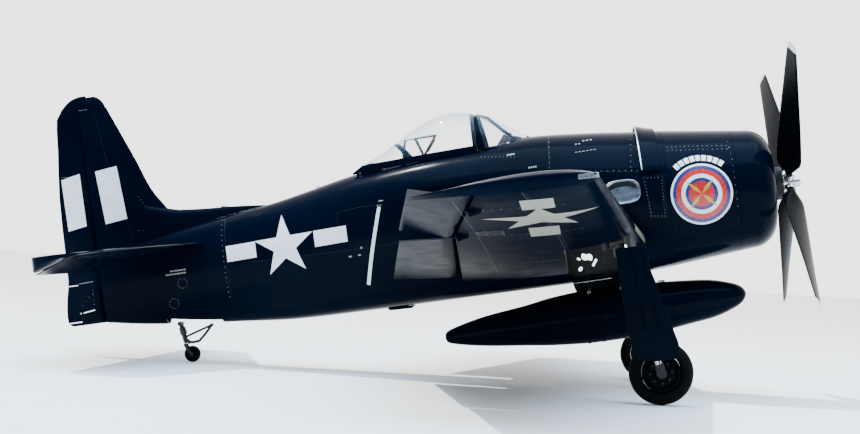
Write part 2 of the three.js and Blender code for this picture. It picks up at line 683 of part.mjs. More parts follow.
function addWing() {
  const tube = rod([SPAR_X, -262, SPAR_Z], [SPAR_X, 262, SPAR_Z], SPAR_RADIUS);
  add("wing_spar_tube", tube, BLACK);
  for (const [name, side] of SIDES) {
    const tip = [[0, 1], [14, 0.72], [26, 0.45], [32, 0.2]];
    const base = WING_TIP_Y - 32;
    const rings = [100, WING_ROOT_Y, 380, 636, base].map((y) => wingRing(y, side));
    tip.slice(1).forEach(([out, shrink]) => rings.push(wingRing(base + out, side, shrink)));
    const bay = (from, to) => {
      const front = (y) => {
        const hinge = wingHinge(y);
        return [hinge.x + hinge.radius + 1, side * y];
      };
      return prism([front(from), front(to), [-1000, side * to], [-1000, side * from]], -300, 200);
    };
    const servo = box([-640, side > 0 ? 650 : -690, -75], [-596, side > 0 ? 690 : -650, -20]);
    const bore = rod([SPAR_X, side * 80, SPAR_Z], [SPAR_X, side * 264, SPAR_Z], SPAR_RADIUS + CLEARANCE);
    const rootClear = fuselageTool;
    const wing = cut(loft(rings), bay(100, 634), bay(638, 1052), servo, bore, rootClear, wheelWell(side));
    add(`wing_${name}`, wing, NAVY);
    const servoEdge = side > 0 ? 652 : -688;
    add(`aileron_servo_${name}`, box([-638, servoEdge, -37.5], [-598, servoEdge + 36, -21.5]), PLASTIC);

    add(`flap_${name}`, loft([158, 400, 628].map((y) => flapRing(y, side))), NAVY);
    addAileron(name, side);
  }
}

// An aileron turns about the line through its two hinge ends, so it is built on that line.
function addAileron(name, side) {
  const [inner, outer] = [wingHinge(641), wingHinge(1049)];
  const start = new THREE.Vector3(inner.x, side * 641, inner.z);
  const end = new THREE.Vector3(outer.x, side * 1049, outer.z);
  const axis = end.clone().sub(start).normalize();
  const fromStart = ([x, y, z]) => [x - start.x, y - start.y, z - start.z];
  const rings = [641, 845, 1049].map((y) => flapRing(y, side).map(fromStart));
  const mesh = add(`aileron_${name}`, loft(rings), NAVY);
  mesh.position.copy(start);
  mesh.quaternion.setFromAxisAngle(axis, -AILERON_REST);
}

function addTail() {
  add("stabilizer", stabSolid(0), NAVY);
  for (const [name, side] of SIDES) {
    const [inner, outer] = [37, 440];
    const start = new THREE.Vector3(ELEVATOR_HINGE_X, side * inner, stabHeight(inner));
    const end = new THREE.Vector3(ELEVATOR_HINGE_X, side * outer, stabHeight(outer));
    const lean = (y) => stabHeight(y) - stabHeight(inner);
    const rings = [inner, 240, outer].map((y) => {
      return elevatorRing(y, side).map(([x, py, z]) => [x, py - side * inner, z + lean(y)]);
    });
    const mesh = add(`elevator_${name}`, loft(rings), NAVY);
    mesh.position.copy(start);
    const axis = end.sub(start).normalize().multiplyScalar(side);
    mesh.quaternion.setFromAxisAngle(axis, -ELEVATOR_DROOP);
  }

  const finLevels = [40, 90, 126, 180, 250, 320, 381];
  const fin = loft(finLevels.map((z) => finRing(z)));
  const ridge = [[-1131, 108, 2], [-1200, 116, 6], [-1280, 121, 9], [-1345, 127, 12], [-1420, 150, 13]];
  const fillet = loft(ridge.map(([x, top, half]) => [
    [x, half, 40],
    [x, half * 0.7, top - 8],
    [x, 1.5, top],
    [x, -1.5, top],
    [x, -half * 0.7, top - 8],
    [x, -half, 40],
  ]));
  const tipRows = [[380.5, -1484, 5], [392, -1488, 4.6], [402, -1496, 3.6], [409, -1508, 1.5]];
  const tip = loft(tipRows.map(([z, front, half]) => [
    [front, 0, z],
    [front - 8, half, z],
    [-1526, half, z],
    [-1526, -half, z],
    [front - 8, -half, z],
  ]));
  add("fin", cut(join(fin, fillet, tip), fuselageTool, stabSolid(1)), NAVY);

  const levels = [-103, -90, -50, 0, 75, 190, 300, 368, 382.5];
  const body = loft(levels.map((z) => rudderRing(z)));
  const hornRows = [[384, -1589, 4.6], [393, -1581, 4], [402, -1571, 3], [409, -1559, 2], [413, -1543, 0.8]];
  const horn = loft(hornRows.map(([z, rear, half]) => [
    [-1527, half, z],
    [-1540, half, z],
    [rear, 0.7, z],
    [rear, -0.7, z],
    [-1540, -half, z],
    [-1527, -half, z],
  ]));
  const neck = rod([RUDDER_HINGE_X, 0, 378], [RUDDER_HINGE_X, 0, 392], 4);
  const tabBay = box([-1700, -30, -96], [-1596, 30, -11]);
  add("rudder", cut(join(body, horn, neck), tabBay), NAVY);
  const tabRing = (z) => {
    const [rear] = lookUp(RUDDER_EDGE, z);
    return [[-1597.5, 2.5, z], [-1597.5, -2.5, z], [rear, -0.8, z], [rear, 0.8, z]];
  };
  add("rudder_tab", loft([-94, -50, -12.5].map(tabRing)), NAVY);
}

function addTank() {
  const tankRings = (grow) => TANK.map(([x, z, r]) => circleAngles(20).map((a) => [
    x,
    (r + grow) * Math.cos(a),
    z + (r + grow) * Math.sin(a),
  ]));
  add("drop_tank", loft(tankRings(0)), NAVY);
  const outline = [[-352, -150], [-366, -190], [-478, -190], [-492, -150]];
  const pylon = cut(plate(outline, -8, 8), fuselageTool, loft(tankRings(CLEARANCE)));
  add("tank_pylon", pylon, NAVY);
}

function addMainGear(name, side) {
  const pivot = [GEAR_PIVOT.x, side * GEAR_PIVOT.y, GEAR_PIVOT.z];
  const axle = [WHEEL.x, side * GEAR_PIVOT.y, WHEEL.z];
  const along = (t) => pivot.map((value, k) => value + (axle[k] - value) * t);
  const block = (x0, x1, z0, z1) => box([x0, side > 0 ? 366 : -394, z0], [x1, side > 0 ? 394 : -366, z1]);
  const cheeks = [block(-422, -414.5, -97, -64), block(-374, -367, -97, -64)];
  add(`retract_unit_${name}`, join(block(-422, -367, -66, -58), ...cheeks), CASTING);
  const axis = [GEAR_AXIS.x, side * GEAR_AXIS.y, GEAR_AXIS.z];
  const onAxis = (d) => pivot.map((value, k) => value + d * axis[k]);
  const trunnion = rod(onAxis(-18), onAxis(12), 10);
  const barrel = cut(rod(pivot, along(0.56), 12), rod(along(0.3), along(0.6), 8.2));
  add(`gear_leg_${name}`, join(trunnion, barrel), CASTING);
  const stub = rod(axle, [WHEEL.x, side * (WHEEL.y - 15), WHEEL.z], 5);
  const slider = rod(along(0.38), axle, 7.4);
  const knuckle = rod([axle[0], axle[1] + side * 8, axle[2]], [axle[0], axle[1] - side * 8, axle[2]], 10);
  add(`gear_oleo_${name}`, join(slider, knuckle, stub), CASTING);

  const rimHalf = 13;
  const bore = 5 + CLEARANCE;
  const rim = [[bore, -rimHalf], [34, -rimHalf], [38, -rimHalf + 3], [38, rimHalf - 3], [34, rimHalf]];
  const hub = turned([...rim, [bore, rimHalf], [bore, -rimHalf]], [0, 0, 0], "y", 24);
  const wheelAt = [WHEEL.x, side * WHEEL.y, WHEEL.z];
  add(`wheel_hub_${name}`, hub, BLACK).position.set(...wheelAt);
  const bead = 38.4;
  const tread = circleAngles(10).map((a) => [
    (WHEEL.radius + bead) / 2 + ((WHEEL.radius - bead) / 2) * power(Math.cos(a), 0.8),
    (WHEEL.width / 2) * power(Math.sin(a), 0.8),
  ]);
  const tyre = turned([...tread, tread[0]], [0, 0, 0], "y", 24);
  const tyreMesh = add(`tyre_${name}`, tyre, RUBBER);
  tyreMesh.position.set(...wheelAt);
  tyreMesh.rotation.y = GROUND_PITCH;

  const outline = [
    [-398, -97], [-339, -97], [-336, -146], [-321, -207], [-309, -264], [-302, -300], [-306, -322],
    [-350, -322], [-389, -308], [-394, -270], [-397, -200],
  ];
  const low = side > 0 ? 395 : -398;
  const panel = plate(outline, low, low + 3);
  const ears = [0.15, 0.42].map((t) => {
    const at = along(t);
    return rod([at[0], side * 392.6, at[2]], [at[0], side * 396, at[2]], 9);
  });
  add(`gear_door_${name}`, join(panel, ...ears), NAVY);
}

function addTailGear() {
  const pivot = [TAIL_PIVOT.x, 0, TAIL_PIVOT.z];
  const head = [-1366, 0, -169];
  const knee = [-1336, 0, -172];
  const brow = [-1303, 0, -140];
  const bars = [
    rod([pivot[0], -13, pivot[2]], [pivot[0], 13, pivot[2]], 4.5),
    rod(pivot, head, 5, 6, 8),
    rod(head, knee, 3, 3, 6),
    rod(knee, brow, 3, 3, 6),
    rod([-1369, 0, -160], brow, 2.5, 2.5, 6),
    rod([-1364, 0, -166], [-1364, 0, -173.2], 7, 7, 8),
  ];
  add("tail_leg", join(...bars), CASTING);
  const crown = rod([-1364, 0, -173.7], [-1364, 0, -176], 7, 7, 8);
  const arms = [-1, 1].map((side) => {
    const top = [-1368, side * 10.5, -174.9];
    return join(
      rod([-1368, -side, -174.9], top, 1.1, 1.1, 6),
      rod(top, [TAIL_WHEEL.x, side * 10.5, TAIL_WHEEL.z], 2.8, 2.8, 6),
    );
  });
  const axle = rod([TAIL_WHEEL.x, -13, TAIL_WHEEL.z], [TAIL_WHEEL.x, 13, TAIL_WHEEL.z], 2.5);
  add("tail_fork", join(crown, ...arms, axle), CASTING);
  const half = TAIL_WHEEL.width / 2;
  const bore = 2.5 + CLEARANCE;
  const profile = [
    [bore, -half], [13.5, -half], [17.3, -half + 2], [18.3, -1], [18.3, 1], [17.3, half - 2], [13.5, half],
  ];
  const wheel = turned([...profile, [bore, half], [bore, -half]], [0, 0, 0], "y", 20);
  const mesh = add("tail_wheel", wheel, RUBBER);
  mesh.position.set(TAIL_WHEEL.x, 0, TAIL_WHEEL.z);
  mesh.rotation.y = GROUND_PITCH;
}

function addRadio() {
  add("battery_pack", box([-470, -38, -36], [-300, 38, 34]), BLUE_WRAP);
  add("speed_controller", box([-360, -30, 44], [-290, 30, 62]), PLASTIC);
  add("servo_tray", box([-960, -52, -60], [-860, 52, -54]), PLY);
  add("rudder_servo", box([-900, -10, -53.6], [-860, 10, -14]), PLASTIC);
}

addPropeller();
addNose();
addFuselage();
addCanopy();
addWindshield();
addCockpit();
addWing();
addTail();
addTank();
for (const [name, side] of SIDES) addMainGear(name, side);
addTailGear();
addRadio();

// ---- stance ----
const aircraft = new THREE.Group();
airframe.rotation.y = -GROUND_PITCH;
aircraft.add(airframe);
aircraft.updateMatrixWorld(true);
const bounds = new THREE.Box3().setFromObject(aircraft, true);
const middle = bounds.getCenter(new THREE.Vector3());
airframe.position.set(-middle.x, -middle.y, -bounds.min.z);
aircraft.updateMatrixWorld(true);

export default aircraft;
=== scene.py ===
"""Looks for a large radio-controlled naval fighter: smooth painted skins, glazing, markings and fittings.

Lengths inside this script are millimetres in the airframe's own axes: X forward, Y to port, Z up, from
the propeller's centre. place() turns them into the frame's metres, where the airframe sits nose-up on
its wheels.
"""

import json
from math import copysign, cos, exp, hypot, pi, radians, sin, sqrt, tan

import bmesh
import bpy
import numpy as np
from mathutils import Matrix, Vector


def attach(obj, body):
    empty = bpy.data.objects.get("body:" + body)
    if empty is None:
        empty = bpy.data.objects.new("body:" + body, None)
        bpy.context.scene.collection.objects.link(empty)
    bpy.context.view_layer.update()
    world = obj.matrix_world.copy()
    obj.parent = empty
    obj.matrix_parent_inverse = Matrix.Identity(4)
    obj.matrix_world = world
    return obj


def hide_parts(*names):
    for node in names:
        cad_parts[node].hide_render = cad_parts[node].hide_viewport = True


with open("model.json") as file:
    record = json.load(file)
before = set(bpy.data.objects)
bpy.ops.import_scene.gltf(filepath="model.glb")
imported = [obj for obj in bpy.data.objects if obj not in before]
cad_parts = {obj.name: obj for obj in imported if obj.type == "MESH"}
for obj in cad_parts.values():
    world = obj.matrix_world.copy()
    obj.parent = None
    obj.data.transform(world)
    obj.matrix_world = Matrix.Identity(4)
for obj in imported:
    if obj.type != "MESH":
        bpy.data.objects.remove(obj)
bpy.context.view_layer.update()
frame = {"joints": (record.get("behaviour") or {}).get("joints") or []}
JOINTS = {joint["name"]: joint for joint in frame["joints"]}

# ---- the airframe's axes in the frame ----
ORIGIN = np.array(JOINTS["propeller_spin"]["pos_m"])
UP = np.array(JOINTS["rudder_hinge"]["axis"])
FORWARD = np.array([UP[2], 0.0, -UP[0]])
AXES = np.array([FORWARD, [0.0, 1.0, 0.0], UP])
THRUST_TILT = radians(2.2)
SIDES = (("right", -1), ("left", 1))

# ---- outer shape: stations from nose to tail ----
FUSELAGE = [  # station, crown, keel, half width
    (-265, 150, -147, 147), (-343, 159, -152, 146), (-430, 169, -155, 144), (-541, 177, -155.5, 139),
    (-640, 172, -155.5, 131), (-800, 163, -155.5, 118), (-940, 148, -155, 104), (-1057, 125, -154, 88),
    (-1131, 111, -151, 77), (-1235, 98, -141, 63), (-1350, 82, -130, 47), (-1450, 66, -119, 33),
    (-1545, 50, -103, 17),
]
CANOPY = [  # station, crown, sill, half width
    (-655, 246, 167, 77), (-690, 254, 166, 77), (-731, 252.5, 165, 74), (-787, 234, 164, 68),
    (-846, 200, 162, 60), (-895, 175, 161, 53), (-913, 166.5, 160, 50),
]
TANK = [  # station, centre height, radius
    (-123, -225, 0.5), (-124.5, -225, 6), (-130, -225.5, 15), (-145, -226, 25), (-190, -227, 40),
    (-250, -228, 48), (-320, -230, 54.5), (-440, -231, 59), (-540, -232, 53), (-600, -233.5, 44.5),
    (-690, -234, 33.5), (-740, -235, 24), (-778, -236, 13.5), (-784.5, -236, 6), (-785, -236, 0.5),
]
FIN_EDGE = [(391, -1487), (320, -1457), (250, -1428), (179, -1400), (126, -1366), (60, -1340)]
RUDDER_EDGE = [
    (408, -1570), (395, -1580), (382, -1590), (368, -1600), (300, -1606), (190, -1616), (75, -1618),
    (0, -1619), (-50, -1628), (-86, -1631), (-95, -1629.5), (-100, -1625), (-103, -1618),
]
COWL_LIP_X, COWL_SEAM_X, COWL_REAR_X = -36, -119, -265
INLET_RADIUS = 80
RUDDER_HINGE_X, ELEVATOR_HINGE_X = -1552, -1462
ELEVATOR_DROOP, AILERON_REST = radians(22.5), radians(12)
WING_ROOT_Y, WING_TIP_Y = 130, 1082
STAB_TIP_Y, STAB_HALF_SPAN = 444, 480
WHEEL = (-342, 352, -347.7)
GEAR_PIVOT = (-392, 380, -84)
FUSELAGE_SLOPE = radians(-11)  # of the spine behind the canopy
EXHAUST_X, EXHAUST_Z = -361, 22
KEEL_ROUND, CANOPY_ROUND = 2.25, 0.92  # exponents of the section curves
DECAL_CELL = 5.0


# ---- helpers: numbers ----
def place(points):
    """Airframe millimetres to frame metres."""
    return np.asarray(points, float) @ AXES / 1000 + ORIGIN


def curve(table, x):
    """Smooth interpolation down a table whose first column falls."""
    last = len(table) - 1
    i = next((k for k in range(last) if x > table[k + 1][0]), last - 1)
    before, here, after, beyond = (table[min(max(k, 0), last)] for k in (i - 1, i, i + 1, i + 2))
    span = after[0] - here[0]
    t = min(max((x - here[0]) / span, 0), 1)
    a = 2 * t**3 - 3 * t**2 + 1
    leaving, arriving = span * (t**3 - 2 * t**2 + t), span * (t**3 - t**2)
    values = []
    for c in range(1, len(here)):
        start = (after[c] - before[c]) / (after[0] - before[0])
        end = (beyond[c] - here[c]) / (beyond[0] - here[0])
        values.append(a * here[c] + (1 - a) * after[c] + leaving * start + arriving * end)
    return values


def power(value, exponent):
    return copysign(abs(value) ** exponent, value)


def crown_exponent(x):
    return 2.1 + 0.6 * exp(-(((x + 720) / 190) ** 2))


def fuselage_point(x, angle, grow=0.0):
    crown, keel, half = curve(FUSELAGE, x)
    n = crown_exponent(x) if sin(angle) > 0 else KEEL_ROUND
    reach = (crown - keel) / 2 + grow
    z = (crown + keel) / 2 + reach * power(sin(angle), 2 / n)
    lean = tan(THRUST_TILT) * min(max((x - FUSELAGE[1][0]) / 78, 0), 1)
    return x + z * lean, (half + grow) * power(cos(angle), 2 / n), z


def cowl_radius(x):
    knee = -86
    if x > knee:
        t = (x - knee) / (COWL_LIP_X - knee)
        return INLET_RADIUS + 47.8 * max(0.0, 1 - t**1.9) ** 0.53
    return 127.8 + (knee - x) * 0.116


def cowl_centre(x):
    return -3.5 + 5 * (COWL_LIP_X - x) / (COWL_LIP_X - COWL_REAR_X)


def cowl_point(x, angle, radius):
    z = radius * sin(angle)
    return x + z * tan(THRUST_TILT), radius * cos(angle), cowl_centre(x) + z


def body_skin(side, lift=0.3):
    """The fuselage's and cowl's side as a map from (x, z) to a point."""
    def at(x, z):
        if x > COWL_REAR_X:
            rise = z - cowl_centre(x)
            radius = cowl_radius(x - rise * tan(THRUST_TILT)) + lift
            return x, side * sqrt(max(radius**2 - rise**2, 0)), z
        crown, keel, half = curve(FUSELAGE, x)
        middle, reach = (crown + keel) / 2, (crown - keel) / 2 + lift
        n = crown_exponent(x) if z > middle else KEEL_ROUND
        share = min(abs((z - middle) / reach), 1)
        return x, side * (half + lift) * (1 - share**n) ** (1 / n), z
    return at


def wing_section(y):
    out = (y - WING_ROOT_Y) / (WING_TIP_Y - WING_ROOT_Y)
    chord = 543 - 256 * out
    washout = min(-16 + 16 * (y - WING_ROOT_Y) / 500, 3)
    x = -327 - (y - WING_ROOT_Y) * 97 / 952
    z = -83 + (y - WING_ROOT_Y) * tan(radians(5.64))
    return x, z, chord, washout / chord, 0.18 - 0.083 * out


def half_thickness(thick, s):
    return 5 * thick * (0.2969 * sqrt(s) - 0.126 * s - 0.3516 * s**2 + 0.2843 * s**3 - 0.1036 * s**4)


def wing_point(y, s, face, shrink=1.0):
    x, z, chord, drop, thick = wing_section(y)
    rise = 0.072 * s * (1 - s) + face * half_thickness(thick * shrink, max(s, 0)) + drop * s
    return x - s * chord, z + rise * chord


def wing_skin(side, face, lift=0.3):
    """One face of a wing as a map from (x, y outboard) to a point."""
    def at(x, y):
        front, _, chord, _, _ = wing_section(y)
        share = min(max((front - x) / chord, 0.0), 1.0)
        return x, side * y, wing_point(y, share, face)[1] + face * lift
    return at


def wing_hinge(y):
    x = -742 + (y - 150) * 46 / 486 if y < 636 else -696 + (y - 636) * 76 / 424
    front, _, chord, _, _ = wing_section(y)
    s = (front - x) / chord
    top, bottom = wing_point(y, s, 1)[1], wing_point(y, s, -1)[1]
    return x, (top + bottom) / 2, (top - bottom) / 2 - 0.4, s


def fin_thickness(z):
    return 15 - (z - 100) * 0.034 if z > 100 else 15


def fin_chord(z):
    """The fin's leading edge and its rear edge against the rudder."""
    return curve(FIN_EDGE, z)[0], RUDDER_HINGE_X + fin_thickness(z) - 1


def fin_swell(z, s):
    """Half the fin's thickness at a share s of its chord."""
    return fin_thickness(z) * min(1, 1.25 * sqrt(s) * (1 - 0.2 * s))


def fin_half(x, z):
    front, rear = fin_chord(z)
    return fin_swell(z, min(max((x - front) / (rear - front), 0), 1))


def rudder_half(x, z):
    rear, = curve(RUDDER_EDGE, z)
    share = min(max((RUDDER_HINGE_X - x) / (RUDDER_HINGE_X - rear), 0), 1)
    return (fin_thickness(z) - 1) * (1 - share) + 0.8 * share


def fin_skin(side, lift=0.3):
    return lambda x, z: (x, side * (fin_half(x, z) + lift), z)


def rudder_skin(side, lift=0.3):
    return lambda x, z: (x, side * (rudder_half(x, z) + lift), z)


def stab_height(y):
    return 42 - 9 / 430 * max(abs(y) - 50, 0)


# ---- helpers: meshes ----
def new_mesh(name, points, faces):
    mesh = bpy.data.meshes.new(name)
    mesh.from_pydata([tuple(p) for p in place(points)], [], faces)
    mesh.validate()
    bm = bmesh.new()
    bm.from_mesh(mesh)
    bmesh.ops.recalc_face_normals(bm, faces=bm.faces)
    bm.to_mesh(mesh)
    bm.free()
    return mesh


def link(name, mesh):
    made = bpy.data.objects.new(name, mesh)
    bpy.context.scene.collection.objects.link(made)
    return made


def finish_piece(made, finish, body, replaces=(), sharp=32):
    """Smooth shading with sharp edges, a material, and the body that the piece rides on."""
    mesh = made.data
    mesh.materials.clear()
    mesh.materials.append(finish)
    mesh.polygons.foreach_set("use_smooth", [True] * len(mesh.polygons))
    mesh.set_sharp_from_angle(angle=radians(sharp))
    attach(made, body)
    if replaces:
        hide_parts(*replaces)
    return made


def loft(rings):
    """Quads through rings of equal length, with a flat cap on each end."""
    count = len(rings[0])
    points = [p for ring in rings for p in ring]
    faces = []
    for r in range(len(rings) - 1):
        for i in range(count):
            a, b = r * count + i, r * count + (i + 1) % count
            faces.append((a, b, b + count, a + count))
    last = (len(rings) - 1) * count
    faces.append(tuple(range(count))[::-1])
    faces.append(tuple(range(last, last + count)))
    return points, faces


def revolve(profile, point, sides=96):
    """A closed profile of pairs carried round: point(a, b, angle) gives each vertex."""
    count = len(profile)
    points = [point(a, b, 2 * pi * k / sides) for k in range(sides) for a, b in profile]
    faces = []
    for k in range(sides):
        for i in range(count):
            j = (i + 1) % count
            n = (k + 1) % sides
            faces.append((k * count + i, k * count + j, n * count + j, n * count + i))
    return points, faces


def circle(count):
    return [2 * pi * i / count for i in range(count)]


def block(low, high):
    corners = [(x, y, z) for x in (low[0], high[0]) for y in (low[1], high[1]) for z in (low[2], high[2])]
    faces = [(0, 1, 3, 2), (4, 6, 7, 5), (0, 4, 5, 1), (2, 3, 7, 6), (0, 2, 6, 4), (1, 5, 7, 3)]
    return corners, faces


def prism(outline, low, high, upright="z"):
    """An outline raised along z, or an (x, z) outline carried across y."""
    if upright == "z":
        rings = [[(x, y, level) for x, y in outline] for level in (low, high)]
    else:
        rings = [[(x, level, z) for x, z in outline] for level in (low, high)]
    return loft(rings)


def round_ring(centre, along, radius, sides):
    """A circle of points about a centre, square to a direction."""
    across = along.cross(Vector((0, 1, 0)) if abs(along.y) < 0.9 else Vector((1, 0, 0))).normalized()
    other = along.cross(across)
    return [tuple(centre + across * radius * cos(a) + other * radius * sin(a)) for a in circle(sides)]


def both_halves(port, z, shared=0):
    """A level ring from its port half; the first points shared lie on the centre line."""
    return [*((x, y, z) for x, y in port), *((x, -y, z) for x, y in reversed(port[shared:]))]


def side_block(side, low, high):
    """A block given for the port side, on either side."""
    near, far = sorted((side * low[1], side * high[1]))
    return block((low[0], near, low[2]), (high[0], far, high[2]))


def rod(start, end, radius, end_radius=None, sides=20):
    start, end = Vector(start), Vector(end)
    along = (end - start).normalized()
    end_radius = radius if end_radius is None else end_radius
    return loft([round_ring(start, along, radius, sides), round_ring(end, along, end_radius, sides)])


def tube(path, radius, sides=10):
    """A round tube along a list of points."""
    path = [Vector(p) for p in path]
    rings = []
    for i, centre in enumerate(path):
        along = (path[min(i + 1, len(path) - 1)] - path[max(i - 1, 0)]).normalized()
        rings.append(round_ring(centre, along, radius, sides))
    return loft(rings)


def joined(*parts):
    points, faces = [], []
    for part_points, part_faces in parts:
        start = len(points)
        points.extend(part_points)
        faces.extend(tuple(i + start for i in face) for face in part_faces)
    return points, faces


def carve(name, solid, cutters=()):
    """A solid with cutters taken away."""
    made = link(name, new_mesh(name, *solid))
    helpers = []
    for cutter in cutters:
        helper = link("helper", new_mesh("helper", *cutter))
        helpers.append(helper)
        change = made.modifiers.new("carve", "BOOLEAN")
        change.operation = "DIFFERENCE"
        change.solver = "MANIFOLD"
        change.object = helper
    if helpers:
        seen = made.evaluated_get(bpy.context.evaluated_depsgraph_get())
        mesh = bpy.data.meshes.new_from_object(seen)
        made.modifiers.clear()
        made.data = mesh
        for helper in helpers:
            bpy.data.objects.remove(helper)
    return made


def piece(name, solid, finish, replaces=(), body="airframe", sharp=32, cutters=(), bevel=0.0):
    """One visible piece: a solid with cutters taken away, given its finish and the body it rides on, with
    rounded edges where asked.
    """
    made = carve(name, solid, cutters)
    finish_piece(made, finish, body, replaces, sharp)
    if bevel:
        rounding = made.modifiers.new("edges", "BEVEL")
        rounding.width = bevel / 1000
        rounding.segments = 2
        rounding.limit_method = "ANGLE"
        rounding.angle_limit = radians(40)
    return made


def decal(name, outlines, skin, finish, side, body="airframe"):
    """Flat outlines cut into small cells and laid on a skin map; side 2 or -2 is an upper or lower face."""
    bm = bmesh.new()
    for outline in outlines:
        bm.faces.new([bm.verts.new((a, b, 0)) for a, b in outline])
    for axis in (0, 1):
        values = [v.co[axis] for v in bm.verts]
        steps = int((max(values) - min(values)) / DECAL_CELL)
        for k in range(1, steps + 1):
            at, normal = [0, 0, 0], [0, 0, 0]
            at[axis], normal[axis] = min(values) + k * DECAL_CELL, 1
            geometry = bm.verts[:] + bm.edges[:] + bm.faces[:]
            bmesh.ops.bisect_plane(bm, geom=geometry, plane_co=at, plane_no=normal)
    spots = place([skin(v.co.x, v.co.y) for v in bm.verts])
    for vertex, spot in zip(bm.verts, spots):
        vertex.co = spot
    bm.normal_update()
    outward = Vector((0, side, 0)) if abs(side) == 1 else Vector((0, 0, side / 2))
    for face in bm.faces:
        if face.normal.dot(outward) < 0:
            face.normal_flip()
    mesh = bpy.data.meshes.new(name)
    bm.to_mesh(mesh)
    bm.free()
    return finish_piece(link(name, mesh), finish, body, sharp=80)


def strip(path, width):
    """Quads of an even width along a path in a skin's two directions."""
    quads = []
    for (ax, ay), (bx, by) in zip(path, path[1:]):
        run = hypot(bx - ax, by - ay)
        nx, ny = -(by - ay) / run * width / 2, (bx - ax) / run * width / 2
        quads.append([(ax + nx, ay + ny), (bx + nx, by + ny), (bx - nx, by - ny), (ax - nx, ay - ny)])
    return quads


def spaced(path, gap):
    """Evenly spaced spots along a path."""
    spots = []
    for (ax, ay), (bx, by) in zip(path, path[1:]):
        count = max(1, round(hypot(bx - ax, by - ay) / gap))
        spots.extend((ax + (bx - ax) * k / count, ay + (by - ay) * k / count) for k in range(count))
    return [*spots, path[-1]]


def rivets(name, spots, skin, radius, body="airframe", finish=None):
    """Low domes standing on a skin map."""
    parts = []
    for a, b in spots:
        centre = np.array(skin(a, b))
        du = np.array(skin(a + 0.5, b)) - centre
        dv = np.array(skin(a, b + 0.5)) - centre
        normal = np.cross(du, dv)
        normal /= max(np.linalg.norm(normal), 1e-9)
        outer = np.array(skin(a, b)) - np.array([a, 0, 0])
        if normal[1] * outer[1] < 0 and abs(normal[1]) > 0.05:
            normal = -normal
        u = du / max(np.linalg.norm(du), 1e-9)
        v = np.cross(normal, u)
        rings = []
        for r, h in ((1.0, -0.2), (0.8, 0.3), (0.35, 0.5)):
            rings.append([tuple(centre + radius * (r * (u * cos(t) + v * sin(t)) + h * normal))
                          for t in circle(7)])
        parts.append(loft(rings))
    piece(name, joined(*parts), finish or BARE_METAL_AND_HIGHLIGHT, body=body, sharp=60)


def shader(name, rough, metallic=0.0, specular=0.5, coat=0.0):
    """An empty procedural material and its Principled shader."""
    made = bpy.data.materials.new(name)
    made.use_nodes = True
    bsdf = made.node_tree.nodes["Principled BSDF"]
    bsdf.inputs["Metallic"].default_value = metallic
    bsdf.inputs["Roughness"].default_value = rough
    bsdf.inputs["Specular IOR Level"].default_value = specular
    bsdf.inputs["Coat Weight"].default_value = coat
    return made, bsdf


def noise(made, scale, detail=3.0, stretch=(1, 1, 1)):
    """Noise in the frame's metres, stretched along an axis where asked."""
    nodes, links = made.node_tree.nodes, made.node_tree.links
    where = nodes.new("ShaderNodeTexCoord")
    mapping = nodes.new("ShaderNodeMapping")
    mapping.inputs["Scale"].default_value = stretch
    grain = nodes.new("ShaderNodeTexNoise")
    grain.inputs["Scale"].default_value = scale
    grain.inputs["Detail"].default_value = detail
    links.new(where.outputs["Object"], mapping.inputs["Vector"])
    links.new(mapping.outputs["Vector"], grain.inputs["Vector"])
    return grain.outputs["Fac"]


def ramp(made, source, stops):
    """A colour ramp; stops are pairs of position and colour."""
    node = made.node_tree.nodes.new("ShaderNodeValToRGB")
    elements = node.color_ramp.elements
    while len(elements) < len(stops):
        elements.new(0.5)
    for element, (position, colour) in zip(elements, stops):
        element.position = position
        element.color = (*colour, 1)
    made.node_tree.links.new(source, node.inputs["Fac"])
    return node.outputs["Color"]


def spread(made, source, low, high, start=0.3, end=0.7):
    node = made.node_tree.nodes.new("ShaderNodeMapRange")
    node.inputs["From Min"].default_value = start
    node.inputs["From Max"].default_value = end
    node.inputs["To Min"].default_value = low
    node.inputs["To Max"].default_value = high
    made.node_tree.links.new(source, node.inputs["Value"])
    return node.outputs["Result"]


def surface(name, dark, light, rough, metallic=0.0, specular=0.5, coat=0.0, scale=25.0,
            stretch=(1, 1, 1), bump=0.1, bump_scale=600.0, depth=0.0002):
    """Two tones of one colour, a roughness that wanders and a fine bump."""
    made, bsdf = shader(name, sum(rough) / 2, metallic, specular, coat)
    links = made.node_tree.links
    broad = noise(made, scale, 4.0, stretch)
    links.new(ramp(made, broad, [(0.3, dark), (0.7, light)]), bsdf.inputs["Base Color"])
    links.new(spread(made, noise(made, scale * 3.1, 3.0, stretch), *rough), bsdf.inputs["Roughness"])
    if bump:
        relief = made.node_tree.nodes.new("ShaderNodeBump")
        relief.inputs["Strength"].default_value = bump
        relief.inputs["Distance"].default_value = depth
        links.new(noise(made, bump_scale, 2.0, stretch), relief.inputs["Height"])
        links.new(relief.outputs["Normal"], bsdf.inputs["Normal"])
    return made


def glazing(name, tint, clear, edge):
    """Clear sheet that is nearly invisible face on and pale at its edges."""
    made, bsdf = shader(name, 0.02, 0.0, 0.4)
    bsdf.inputs["Base Color"].default_value = (*tint, 1)
    facing = made.node_tree.nodes.new("ShaderNodeLayerWeight")
    facing.inputs["Blend"].default_value = 0.18
    alpha = spread(made, facing.outputs["Facing"], clear, edge, 0.0, 0.75)
    made.node_tree.links.new(alpha, bsdf.inputs["Alpha"])
    smear = noise(made, 45, 3.0, (1, 1, 3))
    made.node_tree.links.new(spread(made, smear, 0.01, 0.09), bsdf.inputs["Roughness"])
    return made


